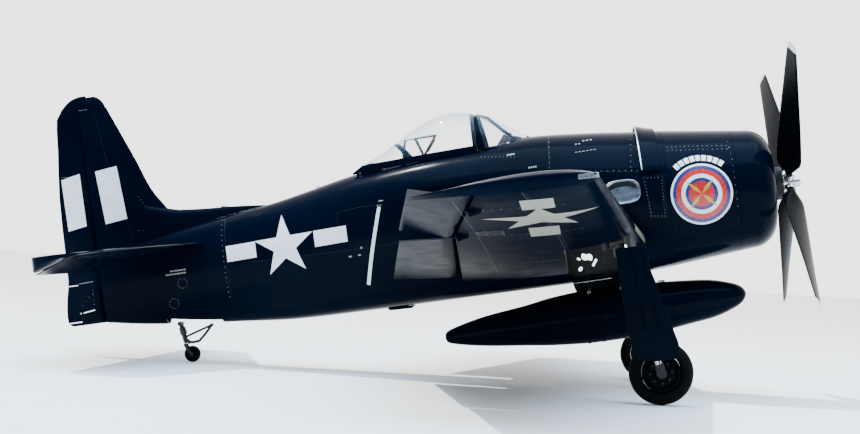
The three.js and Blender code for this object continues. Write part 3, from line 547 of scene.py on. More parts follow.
NAVY = surface("navy_paint", (0.0002, 0.0019, 0.0064), (0.0004, 0.0028, 0.0090), (0.12, 0.19),
               specular=0.018, scale=7, bump=0.02, bump_scale=24, depth=0.0004)
WING_NAVY = surface("navy_wing_paint", (0.0002, 0.0019, 0.0064), (0.0004, 0.0028, 0.0090), (0.16, 0.27),
                    specular=0.003, scale=9, bump=0.06, bump_scale=30, depth=0.0004)
NAVY_SATIN = surface("navy_satin", (0.0002, 0.0011, 0.0034), (0.0003, 0.0017, 0.0050), (0.22, 0.36),
                     specular=0.02, scale=18, bump=0.1)
# Dark joints between panels; the same dark colour is also the painted shadow over the top of each exhaust
# dish.
GAP_AND_SHADOW = surface("dark_gap_and_painted_shadow", (0.0012, 0.0016, 0.0026), (0.003, 0.004, 0.006), (0.5, 0.7), specular=0.2,
                 bump=0.0)
WHITE = surface("white_marking", (0.72, 0.74, 0.75), (0.82, 0.84, 0.85), (0.22, 0.34), scale=40, bump=0.04)
# Grey-white for the small stencil marks, and for the darker copy of the white wing star that is painted as
# shade on the lower face.
GREY_WHITE = surface("grey_stencil_and_shaded_star", (0.22, 0.22, 0.175), (0.30, 0.30, 0.24), (0.3, 0.42), scale=60,
                     bump=0.05)
RED = surface("red_marking", (0.42, 0.012, 0.012), (0.55, 0.02, 0.02), (0.22, 0.34), scale=40, bump=0.04)
BLUE = surface("blue_marking", (0.01, 0.02, 0.12), (0.015, 0.03, 0.17), (0.22, 0.34), scale=40, bump=0.04)
GOLD = surface("yellow_marking", (0.42, 0.26, 0.03), (0.52, 0.33, 0.045), (0.25, 0.36), scale=40, bump=0.04)
BROWN = surface("brown_leathercloth", (0.10, 0.055, 0.045), (0.17, 0.10, 0.08), (0.5, 0.65), scale=60,
                bump=0.35, bump_scale=1500, depth=0.0004)
PROP_BLACK = surface("propeller_black", (0.0005, 0.0008, 0.0018), (0.0011, 0.0016, 0.0032), (0.24, 0.34),
                     specular=0.03, scale=22, bump=0.06)
ALUMINIUM = surface("machined_aluminium", (0.42, 0.42, 0.43), (0.62, 0.62, 0.62), (0.2, 0.36), 1.0,
                    scale=70, stretch=(1, 6, 1), bump=0.12, bump_scale=900)
CHROME = surface("polished_rod", (0.68, 0.69, 0.7), (0.8, 0.8, 0.81), (0.05, 0.12), 1.0, scale=50,
                 bump=0.02)
CASTING = surface("dark_casting", (0.008, 0.0085, 0.0095), (0.022, 0.023, 0.025), (0.4, 0.6), 0.5, scale=60,
                  bump=0.3, bump_scale=1200)
# Bare metal for the rivets and the headrest truss, and also for the light line painted as a highlight along
# an edge low on the rudder.
BARE_METAL_AND_HIGHLIGHT = surface("bare_metal_and_painted_highlight", (0.10, 0.12, 0.14), (0.24, 0.27, 0.30), (0.25, 0.4), 0.9, scale=90,
                   bump=0.0)
STEEL = surface("exhaust_steel", (0.10, 0.13, 0.16), (0.34, 0.40, 0.46), (0.25, 0.42), 0.9, scale=35,
                stretch=(1, 1, 3), bump=0.15, bump_scale=500)
RUBBER = surface("tyre_rubber", (0.0016, 0.0016, 0.0017), (0.0036, 0.0035, 0.0034), (0.62, 0.85),
                 specular=0.06, scale=55, bump=0.25, bump_scale=1400, depth=0.0004)
COCKPIT = surface("cockpit_green", (0.045, 0.06, 0.035), (0.075, 0.095, 0.06), (0.5, 0.7), scale=50,
                  bump=0.15)
PRIMER = surface("well_primer", (0.05, 0.06, 0.035), (0.085, 0.10, 0.055), (0.5, 0.7), scale=30, bump=0.15)
CANVAS = surface("seat_cloth", (0.10, 0.085, 0.055), (0.17, 0.14, 0.09), (0.8, 0.95), specular=0.2,
                 scale=120, bump=0.5, bump_scale=2600, depth=0.0005)
PLY = surface("birch_ply", (0.42, 0.27, 0.13), (0.60, 0.42, 0.23), (0.55, 0.7), scale=14, stretch=(1, 1, 9),
              bump=0.15)
CARBON = surface("carbon_tube", (0.008, 0.008, 0.009), (0.03, 0.03, 0.032), (0.25, 0.4), scale=300,
                 coat=0.5)
WRAP = surface("battery_wrap", (0.012, 0.05, 0.2), (0.02, 0.07, 0.27), (0.25, 0.4), scale=20, bump=0.2,
               bump_scale=90)
PLASTIC = surface("black_plastic", (0.012, 0.012, 0.013), (0.022, 0.022, 0.024), (0.4, 0.55), scale=60,
                  bump=0.2)
GLASS = glazing("canopy_acrylic", (0.20, 0.32, 0.44), 0.02, 0.38)
LENS = glazing("lamp_lens", (0.3, 0.33, 0.36), 0.3, 0.85)
FLOOR = surface("studio_floor", (0.74, 0.74, 0.73), (0.78, 0.78, 0.77), (0.75, 0.85), specular=0.2, scale=3,
                bump=0.0)


# ---- propeller ----
def tilted(points):
    """Points on the propeller's own axes, turned down by the thrust line's tilt."""
    c, s = cos(THRUST_TILT), sin(THRUST_TILT)
    return [(x * c + z * s, y, z * c - x * s) for x, y, z in points]


def turned(profile, sides=64):
    """A profile of (radius, distance) carried round the propeller's axis."""
    points, faces = revolve(profile, lambda r, d, a: (d, r * cos(a), r * sin(a)), sides)
    return tilted(points), faces


def make_propeller():
    hub = [(0.01, -27), (16, -27), (17, -25), (17, 5), (16, 8), (12, 11), (11.5, 15), (11.5, 22), (10, 24),
           (0.01, 24)]
    parts = [turned(hub)]
    clock = radians(45.4)
    for k in range(4):
        a = clock + k * pi / 2
        out = Vector((0, cos(a), sin(a)))
        socket = [rod(out * 6, out * 24, 11, 11, 28), rod(out * 24, out * 26.5, 12.5, 12.5, 28)]
        clamp = rod(out * 18 + Vector((13, 0, 0)), out * 18 - Vector((13, 0, 0)), 3.2, 3.2, 12)
        parts.extend((tilted(points), faces) for points, faces in [*socket, clamp])
    parts.append(turned([(0.01, 24), (5, 24), (5, 27.5), (4, 28.5), (0.01, 28.5)], 6))
    piece("hub_and_sockets", joined(*parts), ALUMINIUM, replaces=["prop_hub"], body="propeller", bevel=0.4)
    ribbed = [(22, -29)]
    for k in range(5):
        d = -29 + k * 3
        ribbed.extend([(36, d + 0.2), (36, d + 1.6), (33.5, d + 2), (33.5, d + 2.8)])
    ribbed.append((22, -14))
    ribbed = [(max(r, 22), min(d, -14)) for r, d in ribbed]
    piece("nose_drum", turned(ribbed, 72), CASTING, body="propeller", sharp=25)

    sections = [  # radius, chord, thickness, pitch
        (26.6, 15, 13, 60), (31, 19, 15, 60), (38, 30, 14, 60), (52, 50, 12.5, 59), (66, 57, 11, 56),
        (90, 59, 9.6, 50), (120, 59, 8.6, 45.5), (150, 58, 7.8, 42), (185, 56, 7, 38), (220, 53.5, 6.3, 34),
        (260, 49.5, 5.5, 30), (300, 44.5, 4.8, 27), (330, 40.5, 4.3, 24.5), (352, 37, 3.8, 22.5),
        (368, 32, 3.2, 21.3), (374, 27, 2.6, 21), (377, 19, 1.6, 21),
    ]
    tip_from = 360

    def ring(row):
        r, chord, thick, pitch = row
        twist = radians(pitch)
        spots = []
        for a in circle(40):
            u = chord / 2 * cos(a)
            camber = 0.25 * thick * (1 - (2 * u / chord) ** 2)
            v = thick / 2 * power(sin(a), 1.15) + camber
            spots.append((u * sin(twist) + v * cos(twist), -u * cos(twist) + v * sin(twist), r))
        return spots

    dense = []
    for low, high in zip(sections, sections[1:]):
        for k in range(3):
            dense.append(tuple(p + (q - p) * k / 3 for p, q in zip(low, high)))
    dense.append(sections[-1])
    blade_rows = [ring(row) for row in dense if row[0] <= tip_from]
    edge = ring(tuple(np.interp(tip_from, [r[0] for r in dense], [r[c] for r in dense]) for c in range(4)))
    tip_rows = [ring(row) for row in dense if row[0] > tip_from]
    for k in range(4):
        turn = clock + k * pi / 2 - pi / 2
        c, s = cos(turn), sin(turn)

        def spun(rows):
            return [tilted([(x, y * c - z * s, y * s + z * c) for x, y, z in row]) for row in rows]

        piece(f"blade_{k + 1}", loft(spun([*blade_rows, edge])), PROP_BLACK,
              replaces=[f"prop_blade_{k + 1}"], body="propeller", sharp=50)
        piece(f"blade_tip_{k + 1}", loft(spun([edge, *tip_rows])), WHITE, body="propeller", sharp=50)
    can = turned([(0.01, -158), (43, -158), (45, -155), (45, -106), (40, -97), (24, -95), (0.01, -95)])
    shaft = turned([(0.01, -96), (6, -96), (6, -28), (0.01, -28)], 32)
    piece("motor_can", joined(can, shaft), CASTING, replaces=["motor_bell"], body="propeller", sharp=30)


# ---- cowl and nose ----
def make_cowl():
    lip = [(x, cowl_radius(x)) for x in np.linspace(COWL_LIP_X - 0.4, -86, 30)]
    nose = [*lip, (-100, cowl_radius(-100)), (COWL_SEAM_X, cowl_radius(COWL_SEAM_X)), (COWL_SEAM_X, 124),
            (-100, 122), (-86, 118), (-70, 106), (-56, 92), (-48, 82), (-42, 78.5), (-38, 78), (-36, 79)]
    solid = revolve(nose, lambda x, r, a: cowl_point(x, a, r), 128)
    piece("nose_bowl", solid, NAVY, replaces=["cowl_nose_ring"], sharp=50)
    stations = np.linspace(COWL_SEAM_X - 0.8, COWL_REAR_X + 0.4, 16)
    skin = [(x, cowl_radius(x)) for x in stations] + [(x, cowl_radius(x) - 3.2) for x in stations[::-1]]
    solid = revolve(skin, lambda x, r, a: cowl_point(x, a, r), 128)
    piece("cowl_body", solid, NAVY, replaces=["engine_cowl"], sharp=50)

    def leaf_strip(side, x, lift, thick):
        angles = np.radians(np.linspace(20, 83, 30))
        outer = [fuselage_point(x, a, lift + thick) for a in angles]
        inner = [fuselage_point(x, a, lift) for a in reversed(angles)]
        return [(px, side * y, z) for px, y, z in [*outer, *inner]]

    for name, side in SIDES:
        rows = [leaf_strip(side, x, lift, 1.8) for x, lift in
                ((-278, 3.8), (-284, 4.5), (-290, 5.2), (-296, 6.1), (-302, 7.6), (-309, 9.3),
                 (-315.5, 11))]
        piece(f"cowl_leaf_{name}", loft(rows), NAVY, replaces=[f"cowl_flap_{name}"],
              body=f"cowl_flap_{name}", sharp=40)
        edge = [leaf_strip(side, x, lift, 1.9) for x, lift in ((-314.4, 10.9), (-316.6, 11.2))]
        piece(f"cowl_leaf_edge_{name}", loft(edge), ALUMINIUM, body=f"cowl_flap_{name}", sharp=40)
        rods = [tube([fuselage_point(-286, a, 0.5), fuselage_point(-307, a, 8.4)], 1.0, 8)
                for a in (0.7, 1.1)]
        rods = [([(x, side * y, z) for x, y, z in points], faces) for points, faces in rods]
        piece(f"cowl_leaf_links_{name}", joined(*rods), ALUMINIUM, body=f"cowl_flap_{name}")

    parts = [turned([(60, -222), (84, -222), (86, -216), (86, -176), (80, -168), (64, -160), (60, -160)],
                    72)]
    for a in circle(9):
        y, z = cos(a + pi / 2), sin(a + pi / 2)
        rods = []
        for k in range(12):
            r = 88 + k * 3
            width = 19.5 - 0.25 * k
            rods.append(rod((-196, r * y, r * z), (-196, (r + 1.3) * y, (r + 1.3) * z), width, width, 24))
        rods.append(rod((-196, 84 * y, 84 * z), (-196, 125 * y, 125 * z), 15, 13, 20))
        rods.append(rod((-182, 70 * y, 70 * z), (-184, 121 * y - 6 * z, 121 * z + 6 * y), 1.8, 1.8, 8))
        parts.extend((tilted(points), faces) for points, faces in rods)
    piece("radial_cylinders", joined(*parts), CASTING, replaces=["dummy_engine"], sharp=30)


# ---- fuselage ----
def wheel_well(side):
    rear = -496

    def ring(y):
        front = wing_section(max(y, WING_ROOT_Y))[0] - 12
        edge, _, chord, _, _ = wing_section(max(y, WING_ROOT_Y))
        top = []
        for x in (front, front - 20, front - 55, rear):
            top.append((x, side * y, wing_point(max(y, WING_ROOT_Y), (edge - x) / chord, 1)[1] - 7))
        return [(rear, side * y, -200), (front, side * y, -200), *top]

    return loft([ring(y) for y in (46, WING_ROOT_Y, 215, 300, 408)])


def fuselage_loft(grow, front, rear, sides=144, step=14):
    stations = np.linspace(front, rear, int((front - rear) / step) + 1)
    return loft([[fuselage_point(x, a, grow) for a in circle(sides)] for x in stations])


def make_fuselage():
    cockpit = [(-862, -50), (-862, 50), (-790, 60), (-585, 62), (-585, -62), (-790, -60)]
    cutters = [
        fuselage_loft(-3.5, -258, -1500, 96, 20),
        prism(cockpit, 118, 300),
        block((-1398, -22, -220), (-1272, 22, -50)),
        wheel_well(1),
        wheel_well(-1),
        block((-488, -60, -137), (-392, 60, -62)),
    ]
    body = fuselage_loft(0, COWL_REAR_X - 0.4, -1538)
    piece("fuselage_skin", body, NAVY, replaces=["fuselage_shell"], sharp=30, cutters=cutters)
    wall = loft([[fuselage_point(x, a, -4.4) for a in circle(96)] for x in (-271, -277)])
    piece("ply_firewall", wall, PLY, replaces=["firewall"])

    for name, side in SIDES:
        skin = body_skin(side, 0)
        rows = []
        for share, lift in ((1.0, 0.3), (0.99, 2.2), (0.95, 2.8), (0.9, 2.2), (0.84, 0.9), (0.6, 0.5),
                            (0.3, 0.5), (0.02, 0.5)):
            row = []
            for a in circle(72):
                x, z = EXHAUST_X + 38 * share * power(cos(a), 0.7), EXHAUST_Z + 26 * share * power(sin(a),
                        0.7)
                px, py, pz = skin(x, z)
                row.append((px, py + side * lift, pz))
            rows.append(row)
        points, faces = loft(rows)
        piece(f"exhaust_dish_{name}", (points, faces[:-2]), STEEL, replaces=[f"exhaust_panel_{name}"],
              sharp=60)
        # Painted shadow: a dark crescent over the top of the exhaust dish, where the recess is in shade.
        crescent = []
        for start, turn, wide, tall in ((20, 140, 34.5, 23.4), (160, -140, 32, 11)):
            for k in range(25):
                a = radians(start + turn * k / 24)
                crescent.append((EXHAUST_X + wide * cos(a), EXHAUST_Z + tall * sin(a)))
        decal(f"exhaust_shadow_{name}", [crescent], body_skin(side, 0.9), GAP_AND_SHADOW, side)


# ---- lines, rivets and small fittings on the body ----
def make_body_details():
    for name, side in SIDES:
        skin, thin = body_skin(side, 0.25), body_skin(side, 0.12)
        seams = [
            [(-500, 168), (-502, 140), (-504, 106), (-507, 84)],
            [(-507, 84), (-395, 71), (-323, 60)],
            [(-272, 46), (-316, 48), (-312, 6), (-307, -40), (-276, -44), (-272, 46)],
            [(-975, 15), (-975, 66), (-922, 70), (-886, 69)],
            [(-760, -14), (-878, -20), (-1012, -19), (-1180, -15)],
            [(-1236, 92), (-1236, 40), (-1238, -20), (-1236, -90)],
        ]
        decal(f"panel_gaps_{name}", [q for path in seams for q in strip(path, 0.8)], thin, GAP_AND_SHADOW, side)
        rows = [
            ([(-498, 165), (-504, 106), (-507, 86)], 11),
            ([(-510, 87), (-323, 63)], 13),
            ([(-276, 42), (-312, 44), (-308, -36), (-280, -40), (-276, 42)], 7),
            ([(-125.5, 100), (-124, 60), (-126, 20), (-127, -40)], 14),
            ([(-130, 92), (-190, 99), (-262, 106)], 9.5),
            ([(-130, 84), (-190, 91), (-262, 98)], 9.5),
            ([(-576, 130), (-648, 141)], 8),
            ([(-325, 146), (-330, 110), (-336, 72)], 13),
            ([(-1243, 88), (-1243, 30), (-1243, -30), (-1242, -84)], 12),
            ([(-1230, 100), (-1330, 84), (-1430, 70)], 14),
        ]
        spots = [s for path, gap in rows for s in spaced(path, gap)]
        for cx, cz in ((-1345, -40), (-1372, -82)):
            spots.extend((cx + 11 * cos(a), cz + 11 * sin(a)) for a in circle(12))
        rivets(f"body_rivets_{name}", spots, skin, 0.95)
        dashes = []
        for x0, z0, count, gap, size in ((-410, 146, 3, 8, (4.2, 2.4)), (-436, 140, 2, 7, (3.6, 2.0)),
                                         (-405, 122, 6, 8, (5, 0.9)), (-577, 137, 4, 4.4, (3, 2.6)),
                                         (-534, 102, 4, 4.6, (3, 3.2)), (-936, -33, 2, 21, (6, 3)),
                                         (-930, -18, 1, 5, (4, 4)), (-875, 77, 1, 5, (10, 2.4)),
                                         (-877, 68, 2, 6, (4, 1.2))):
            for k in range(count):
                x, z = x0 - k * gap, z0 - 0.02 * k * gap
                w, h = size
                dashes.append([(x - w / 2, z - h / 2), (x + w / 2, z - h / 2), (x + w / 2, z + h / 2),
                               (x - w / 2, z + h / 2)])
        for z, count in ((-12, 7), (-19, 9)):
            for k in range(count):
                x = -1338 - k * 5.4
                dashes.append([(x, z), (x + 3.6, z + 0.3), (x + 3.6, z + 3.2), (x, z + 2.9)])
        decal(f"stencil_dashes_{name}", dashes, skin, GREY_WHITE, side)
        stripe = strip([(-880, 64), (-903, -14), (-927, -99)], 7.5)
        decal(f"white_stripe_{name}", stripe, body_skin(side, 0.35), WHITE, side)

    web = block((-503, -5, -152), (-386, 5, -55))
    holes = [((-456, -100), (-449, -104), 8.5), ((-471, -103), (-471, -105), 3.6),
             ((-471, -127), (-469, -125), 3.8), ((-441, -121), (-434, -111), 2.8)]
    cutters = []
    for (x0, z0), (x1, z1), r in holes:
        ring = [(x0 + r * cos(a), z0 + r * sin(a)) for a in np.radians(np.linspace(120, 300, 10))]
        ring += [(x1 + r * cos(a), z1 + r * sin(a)) for a in np.radians(np.linspace(-60, 120, 10))]
        cutters.append(prism(ring, -20, 20, "y"))
    piece("keel_web", web, CASTING, cutters=cutters, bevel=0.6)

    dome_base = turned_at((-1022, 0, 129), [(7.5, -2), (7.5, 1), (6.5, 2), (0.01, 2)], FUSELAGE_SLOPE)
    piece("dome_lamp_base", dome_base, ALUMINIUM)
    lens = [(6 * cos(t), 2 + 6 * sin(t)) for t in np.linspace(0, pi / 2 - 0.02, 12)]
    piece("dome_lamp_lens", turned_at((-1022, 0, 129), [(0.01, 1.5), (6, 1.5), *lens], FUSELAGE_SLOPE),
          LENS, sharp=60)
    blade = [(-1250, 116), (-1226, 114), (-1232, 120), (-1247, 122)]
    piece("spine_blade", prism(blade, -1.2, 1.2, "y"), ALUMINIUM)
    keel = [(-905, -154), (-840, -156), (-850, -162), (-898, -161)]
    piece("belly_vent", prism(keel, -8, 8, "y"), NAVY_SATIN, bevel=1.5)


def turned_at(centre, profile, lean=0.0):
    """A profile of (radius, height) turned about an upright axis that leans back by an angle."""
    cx, cy, cz = centre
    c, s = cos(lean), sin(lean)

    def at(r, h, a):
        x, y = r * cos(a), r * sin(a)
        return cx + x * c + h * s, cy + y, cz - x * s + h * c

    return revolve([*profile, (0.01, profile[0][1])] if profile[0][0] > 0.02 else profile, at, 40)


# ---- markings ----
def star(cx, cz, radius, tilt=0.0):
    spots = []
    for k in range(10):
        r = radius if k % 2 == 0 else radius * 0.382
        a = radians(90 + tilt + 36 * k)
        spots.append((cx + r * cos(a), cz + r * sin(a)))
    return spots


def bar(x0, x1, z0, z1, cx, cz, tilt):
    """A rectangle turned about a centre."""
    c, s = cos(radians(tilt)), sin(radians(tilt))
    return [(cx + x * c - z * s, cz + x * s + z * c) for x, z in ((x0, z0), (x1, z0), (x1, z1), (x0, z1))]


def disc(cx, cz, rx, rz, start=0.0, end=360.0, inner=0.0, steps=64):
    """A disc, a ring or a slice of one; a full ring comes as slices."""
    outlines = []
    for k in range(steps):
        a, b = (radians(start + (end - start) * (k + j) / steps) for j in (0, 1))
        outer = [(cx + rx * cos(t), cz + rz * sin(t)) for t in (a, b)]
        if inner:
            back = [(cx + rx * inner * cos(t), cz + rz * inner * sin(t)) for t in (b, a)]
            outlines.append([*outer, *back])
        else:
            outlines.append([*outer, (cx, cz)])
    return outlines


def make_markings():
    rx, rz, rcx, rcz = 65, 64, -198, -4

    def petal(turn):
        spots = [(rcx, rcz)]
        for r, degrees in ((18, 32), (44, 45), (18, 58)):
            a = radians(turn + degrees)
            spots.append((rcx + r * cos(a), rcz + r * sin(a)))
        return spots

    for name, side in SIDES:
        skin = body_skin(side, 0.3)
        tilt = 1.4
        shapes = [star(-1101, 9.5, 70, tilt), bar(-22, 52, -17, 18, -1010, 15.5, tilt),
                  bar(-52, 16, -17, 18, -1183, 10.5, tilt)]
        decal(f"body_star_{name}", shapes, skin, WHITE, side)

        layers = [
            ("rim", WHITE, disc(rcx, rcz, rx, rz, inner=0.93), 0.3),
            ("field", BLUE, disc(rcx, rcz, rx * 0.935, rz * 0.935), 0.28),
            ("band_outer", RED, disc(rcx, rcz, rx * 0.82, rz * 0.82, inner=0.80), 0.42),
            ("band_inner", WHITE, disc(rcx, rcz, rx * 0.656, rz * 0.656, inner=0.80), 0.42),
            ("centre", RED, disc(rcx, rcz, rx * 0.42, rz * 0.42), 0.42),
            ("petals", GOLD, [petal(90 * k) for k in range(4)], 0.55),
        ]
        for part, finish, outlines, lift in layers:
            decal(f"nose_roundel_{part}_{name}", outlines, body_skin(side, lift), finish, side)
        arch = []
        for k in range(9):
            start = 128 - k * 9.2
            arch.extend(disc(rcx, rcz, rx * 1.29, rz * 1.29, start - 7.2, start, inner=0.85, steps=3))
        decal(f"nose_arch_blocks_{name}", arch, skin, WHITE, side)

    for name, side in SIDES:
        plate = [(-1462, 122), (-1512, 116), (-1523, 238), (-1473, 244)]
        decal(f"fin_block_{name}", [plate], fin_skin(side, 0.35), WHITE, side)
        plate = [(-1557, 118), (-1603, 112), (-1606, 230), (-1560, 238)]
        decal(f"rudder_block_{name}", [plate], rudder_skin(side, 0.35), WHITE, side, body="rudder")


# ---- canopy, windshield and cockpit ----
def canopy_arc(x, grow=0.0):
    crown, sill, half = curve(CANOPY, x)
    arc = []
    for k in range(37):
        a = pi * k / 36
        y = (half + grow) * power(cos(a), CANOPY_ROUND)
        arc.append((x, y, sill + (crown - sill + grow) * power(max(sin(a), 0), CANOPY_ROUND)))
    return arc


def shell_between(outer_rows, inner_rows):
    return loft([[*outer, *reversed(inner)] for outer, inner in zip(outer_rows, inner_rows)])


def make_canopy():
    stations = [*np.linspace(-655.5, -905, 34), -909, -912.5]
    outer = [canopy_arc(x) for x in stations]
    inner = [canopy_arc(x, -1.8) for x in stations]
    piece("canopy_bubble", shell_between(outer, inner), GLASS, replaces=["canopy_glass"], body="canopy",
          sharp=60)

    parts = []
    for _, side in SIDES:
        rows = []
        for x in [*np.linspace(-655.5, -913, 24), -924, -936]:
            _, sill, half = curve(CANOPY, max(x, -913))
            back = max(0.0, (-913 - x) / 23)
            half, sill = half - 6 * back, sill - 2.4 * back
            fall = 11 * back
            outline = [(half - 5, sill - 12), (half + 0.4, sill - 12), (half + 1, sill - 11.5),
                       (half + 1, sill + 1.2 - fall), (half + 0.4, sill + 2.2 - fall),
                       (half - 4.4, sill + 2.2 - fall), (half - 5, sill + 1 - fall)]
            rows.append([(x, side * y, z) for y, z in outline])
        parts.append(loft(rows))
        parts.append(rod((-659, side * 71.5, 158), (-659, side * 71.5, 173), 2, 2, 12))
    bow_out = [canopy_arc(x, -2) for x in (-655.6, -664)]
    bow_in = [canopy_arc(x, -7.5) for x in (-655.6, -664)]
    parts.append(shell_between(bow_out, bow_in))

    def hoop_at(degree, grow, shift):
        a = radians(degree)
        x = -809 - 27 * sin(a)
        crown, sill, half = curve(CANOPY, x)
        z = sill + (crown - sill + grow) * power(max(sin(a), 0), CANOPY_ROUND)
        return x + shift, (half + grow) * power(cos(a), CANOPY_ROUND), z - (2 if degree in (0, 180) else 0)

    degrees = [5 * k for k in range(37)]
    hoop = [([hoop_at(d, -2.4, s) for d in degrees], [hoop_at(d, -6.5, s) for d in degrees])
            for s in (5, -5)]
    parts.append(shell_between([rows[0] for rows in hoop], [rows[1] for rows in hoop]))
    parts.append(rod((-928, -42, 149), (-928, 42, 149), 3, 3, 16))
    clear = fuselage_loft(0.3, -560, -1000, 96, 12)
    for k, part in enumerate(parts):
        piece(f"canopy_frame_{k + 1}", part, NAVY, replaces=["canopy_frame"] if k == 0 else (),
              body="canopy", sharp=35, cutters=[clear])
    rows = []
    for x in np.linspace(-872, -939, 20):
        crown, sill, half = curve(CANOPY, max(x, -913))
        back = max(0.0, (-906 - x) / 33)
        top = min(sill + 4 + (-872 - x) * 0.12, crown - 3.2) if x > -906 else 163 - 25 * back
        low, wide = sill - 18, half - 4 - 12 * back
        rows.append([(x, y, z) for y,
                     z in ((-wide, low), (wide, low), (wide, top - 6), (wide * 0.72, top - 1.6), (0, top),
                                            (-wide * 0.72, top - 1.6), (-wide, top - 6))])
    piece("canopy_rear_deck", loft(rows), NAVY, body="canopy", sharp=50, cutters=[clear])


def hull(points):
    bm = bmesh.new()
    for point in points:
        bm.verts.new(point)
    made = bmesh.ops.convex_hull(bm, input=bm.verts)
    spare = {e for e in made["geom_interior"] + made["geom_unused"] if isinstance(e, bmesh.types.BMVert)}
    bmesh.ops.delete(bm, geom=list(spare), context="VERTS")
    bm.verts.index_update()
    solid = [tuple(v.co) for v in bm.verts], [tuple(v.index for v in f.verts) for f in bm.faces]
    bm.free()
    return solid


def windshield_points(inset, degrees):
    front = [(-541, 26, 177), (-560, 42, 165), (-624, 31, 234)]
    arch = []
    for degree in degrees:
        a = radians(degree)
        arch.append((-638 - 12 * sin(a), 79 * power(cos(a), CANOPY_ROUND),
                     159 + 87 * power(sin(a), CANOPY_ROUND)))
    scale = 1 - inset / 60
    port = [(x - inset * 1.2 if x > -630 else x, y * scale, 159 + (z - 159) * scale) for x, y,
            z in [*front, *arch]]
    return port, [(x, -y, z) for x, y, z in port]


def make_windshield():
    fine = [5 * k for k in range(18)] + [89.9]
    outer = hull([p for half in windshield_points(0, fine) for p in half])
    deep = []
    for half in windshield_points(1.9, fine):
        deep.extend(half)
        deep.extend((x, y, z - 30) for x, y, z in half)
        deep.extend((x - 20 if x < -630 else x, y, z) for x, y, z in half)
    clear = fuselage_loft(0.3, -500, -700, 96, 8)
    piece("windshield_panes", outer, GLASS, replaces=["windshield_glass"], sharp=28,
          cutters=[hull(deep), clear])
    bars = []
    port, starboard = windshield_points(2.6, fine)
    for half in (port, starboard):
        bars.extend(tube([half[a], half[b]], r, 12) for a, b, r in ((1, 2, 2.6), (1, 3, 2.6), (2, -1, 2.4)))
    bars.append(tube([port[2], starboard[2]], 2.6, 12))
    bars.append(tube([port[1], port[0], starboard[0], starboard[1]], 2.6, 12))
    arch = [*port[3:], *reversed(starboard[3:-1])]
    inner_arch = [(x, y * 0.955, 159 + (z - 159) * 0.955) for x, y, z in arch]
    faces = [[[(x + 4.5, y, z) for x, y, z in row], [(-654.4, y, z) for x, y, z in row]]
             for row in (arch, inner_arch)]
    bars.append(shell_between(*faces))
    for k, part in enumerate(bars):
        piece(f"windshield_bar_{k + 1}", part, NAVY, replaces=["windshield_frame"] if k == 0 else (),
              sharp=40, cutters=[clear])


def hollow_box(low, high, wall):
    """An open-topped tray: its walls and floor as five plates."""
    (x0, y0, z0), (x1, y1, z1) = low, high
    return joined(
        block(low, (x1, y1, z0 + wall)),
        block((x0, y0, z0 + wall), (x0 + wall, y1, z1)),
        block((x1 - wall, y0, z0 + wall), (x1, y1, z1)),
        block((x0 + wall, y0, z0 + wall), (x1 - wall, y0 + wall, z1)),
        block((x0 + wall, y1 - wall, z0 + wall), (x1 - wall, y1, z1)),
    )


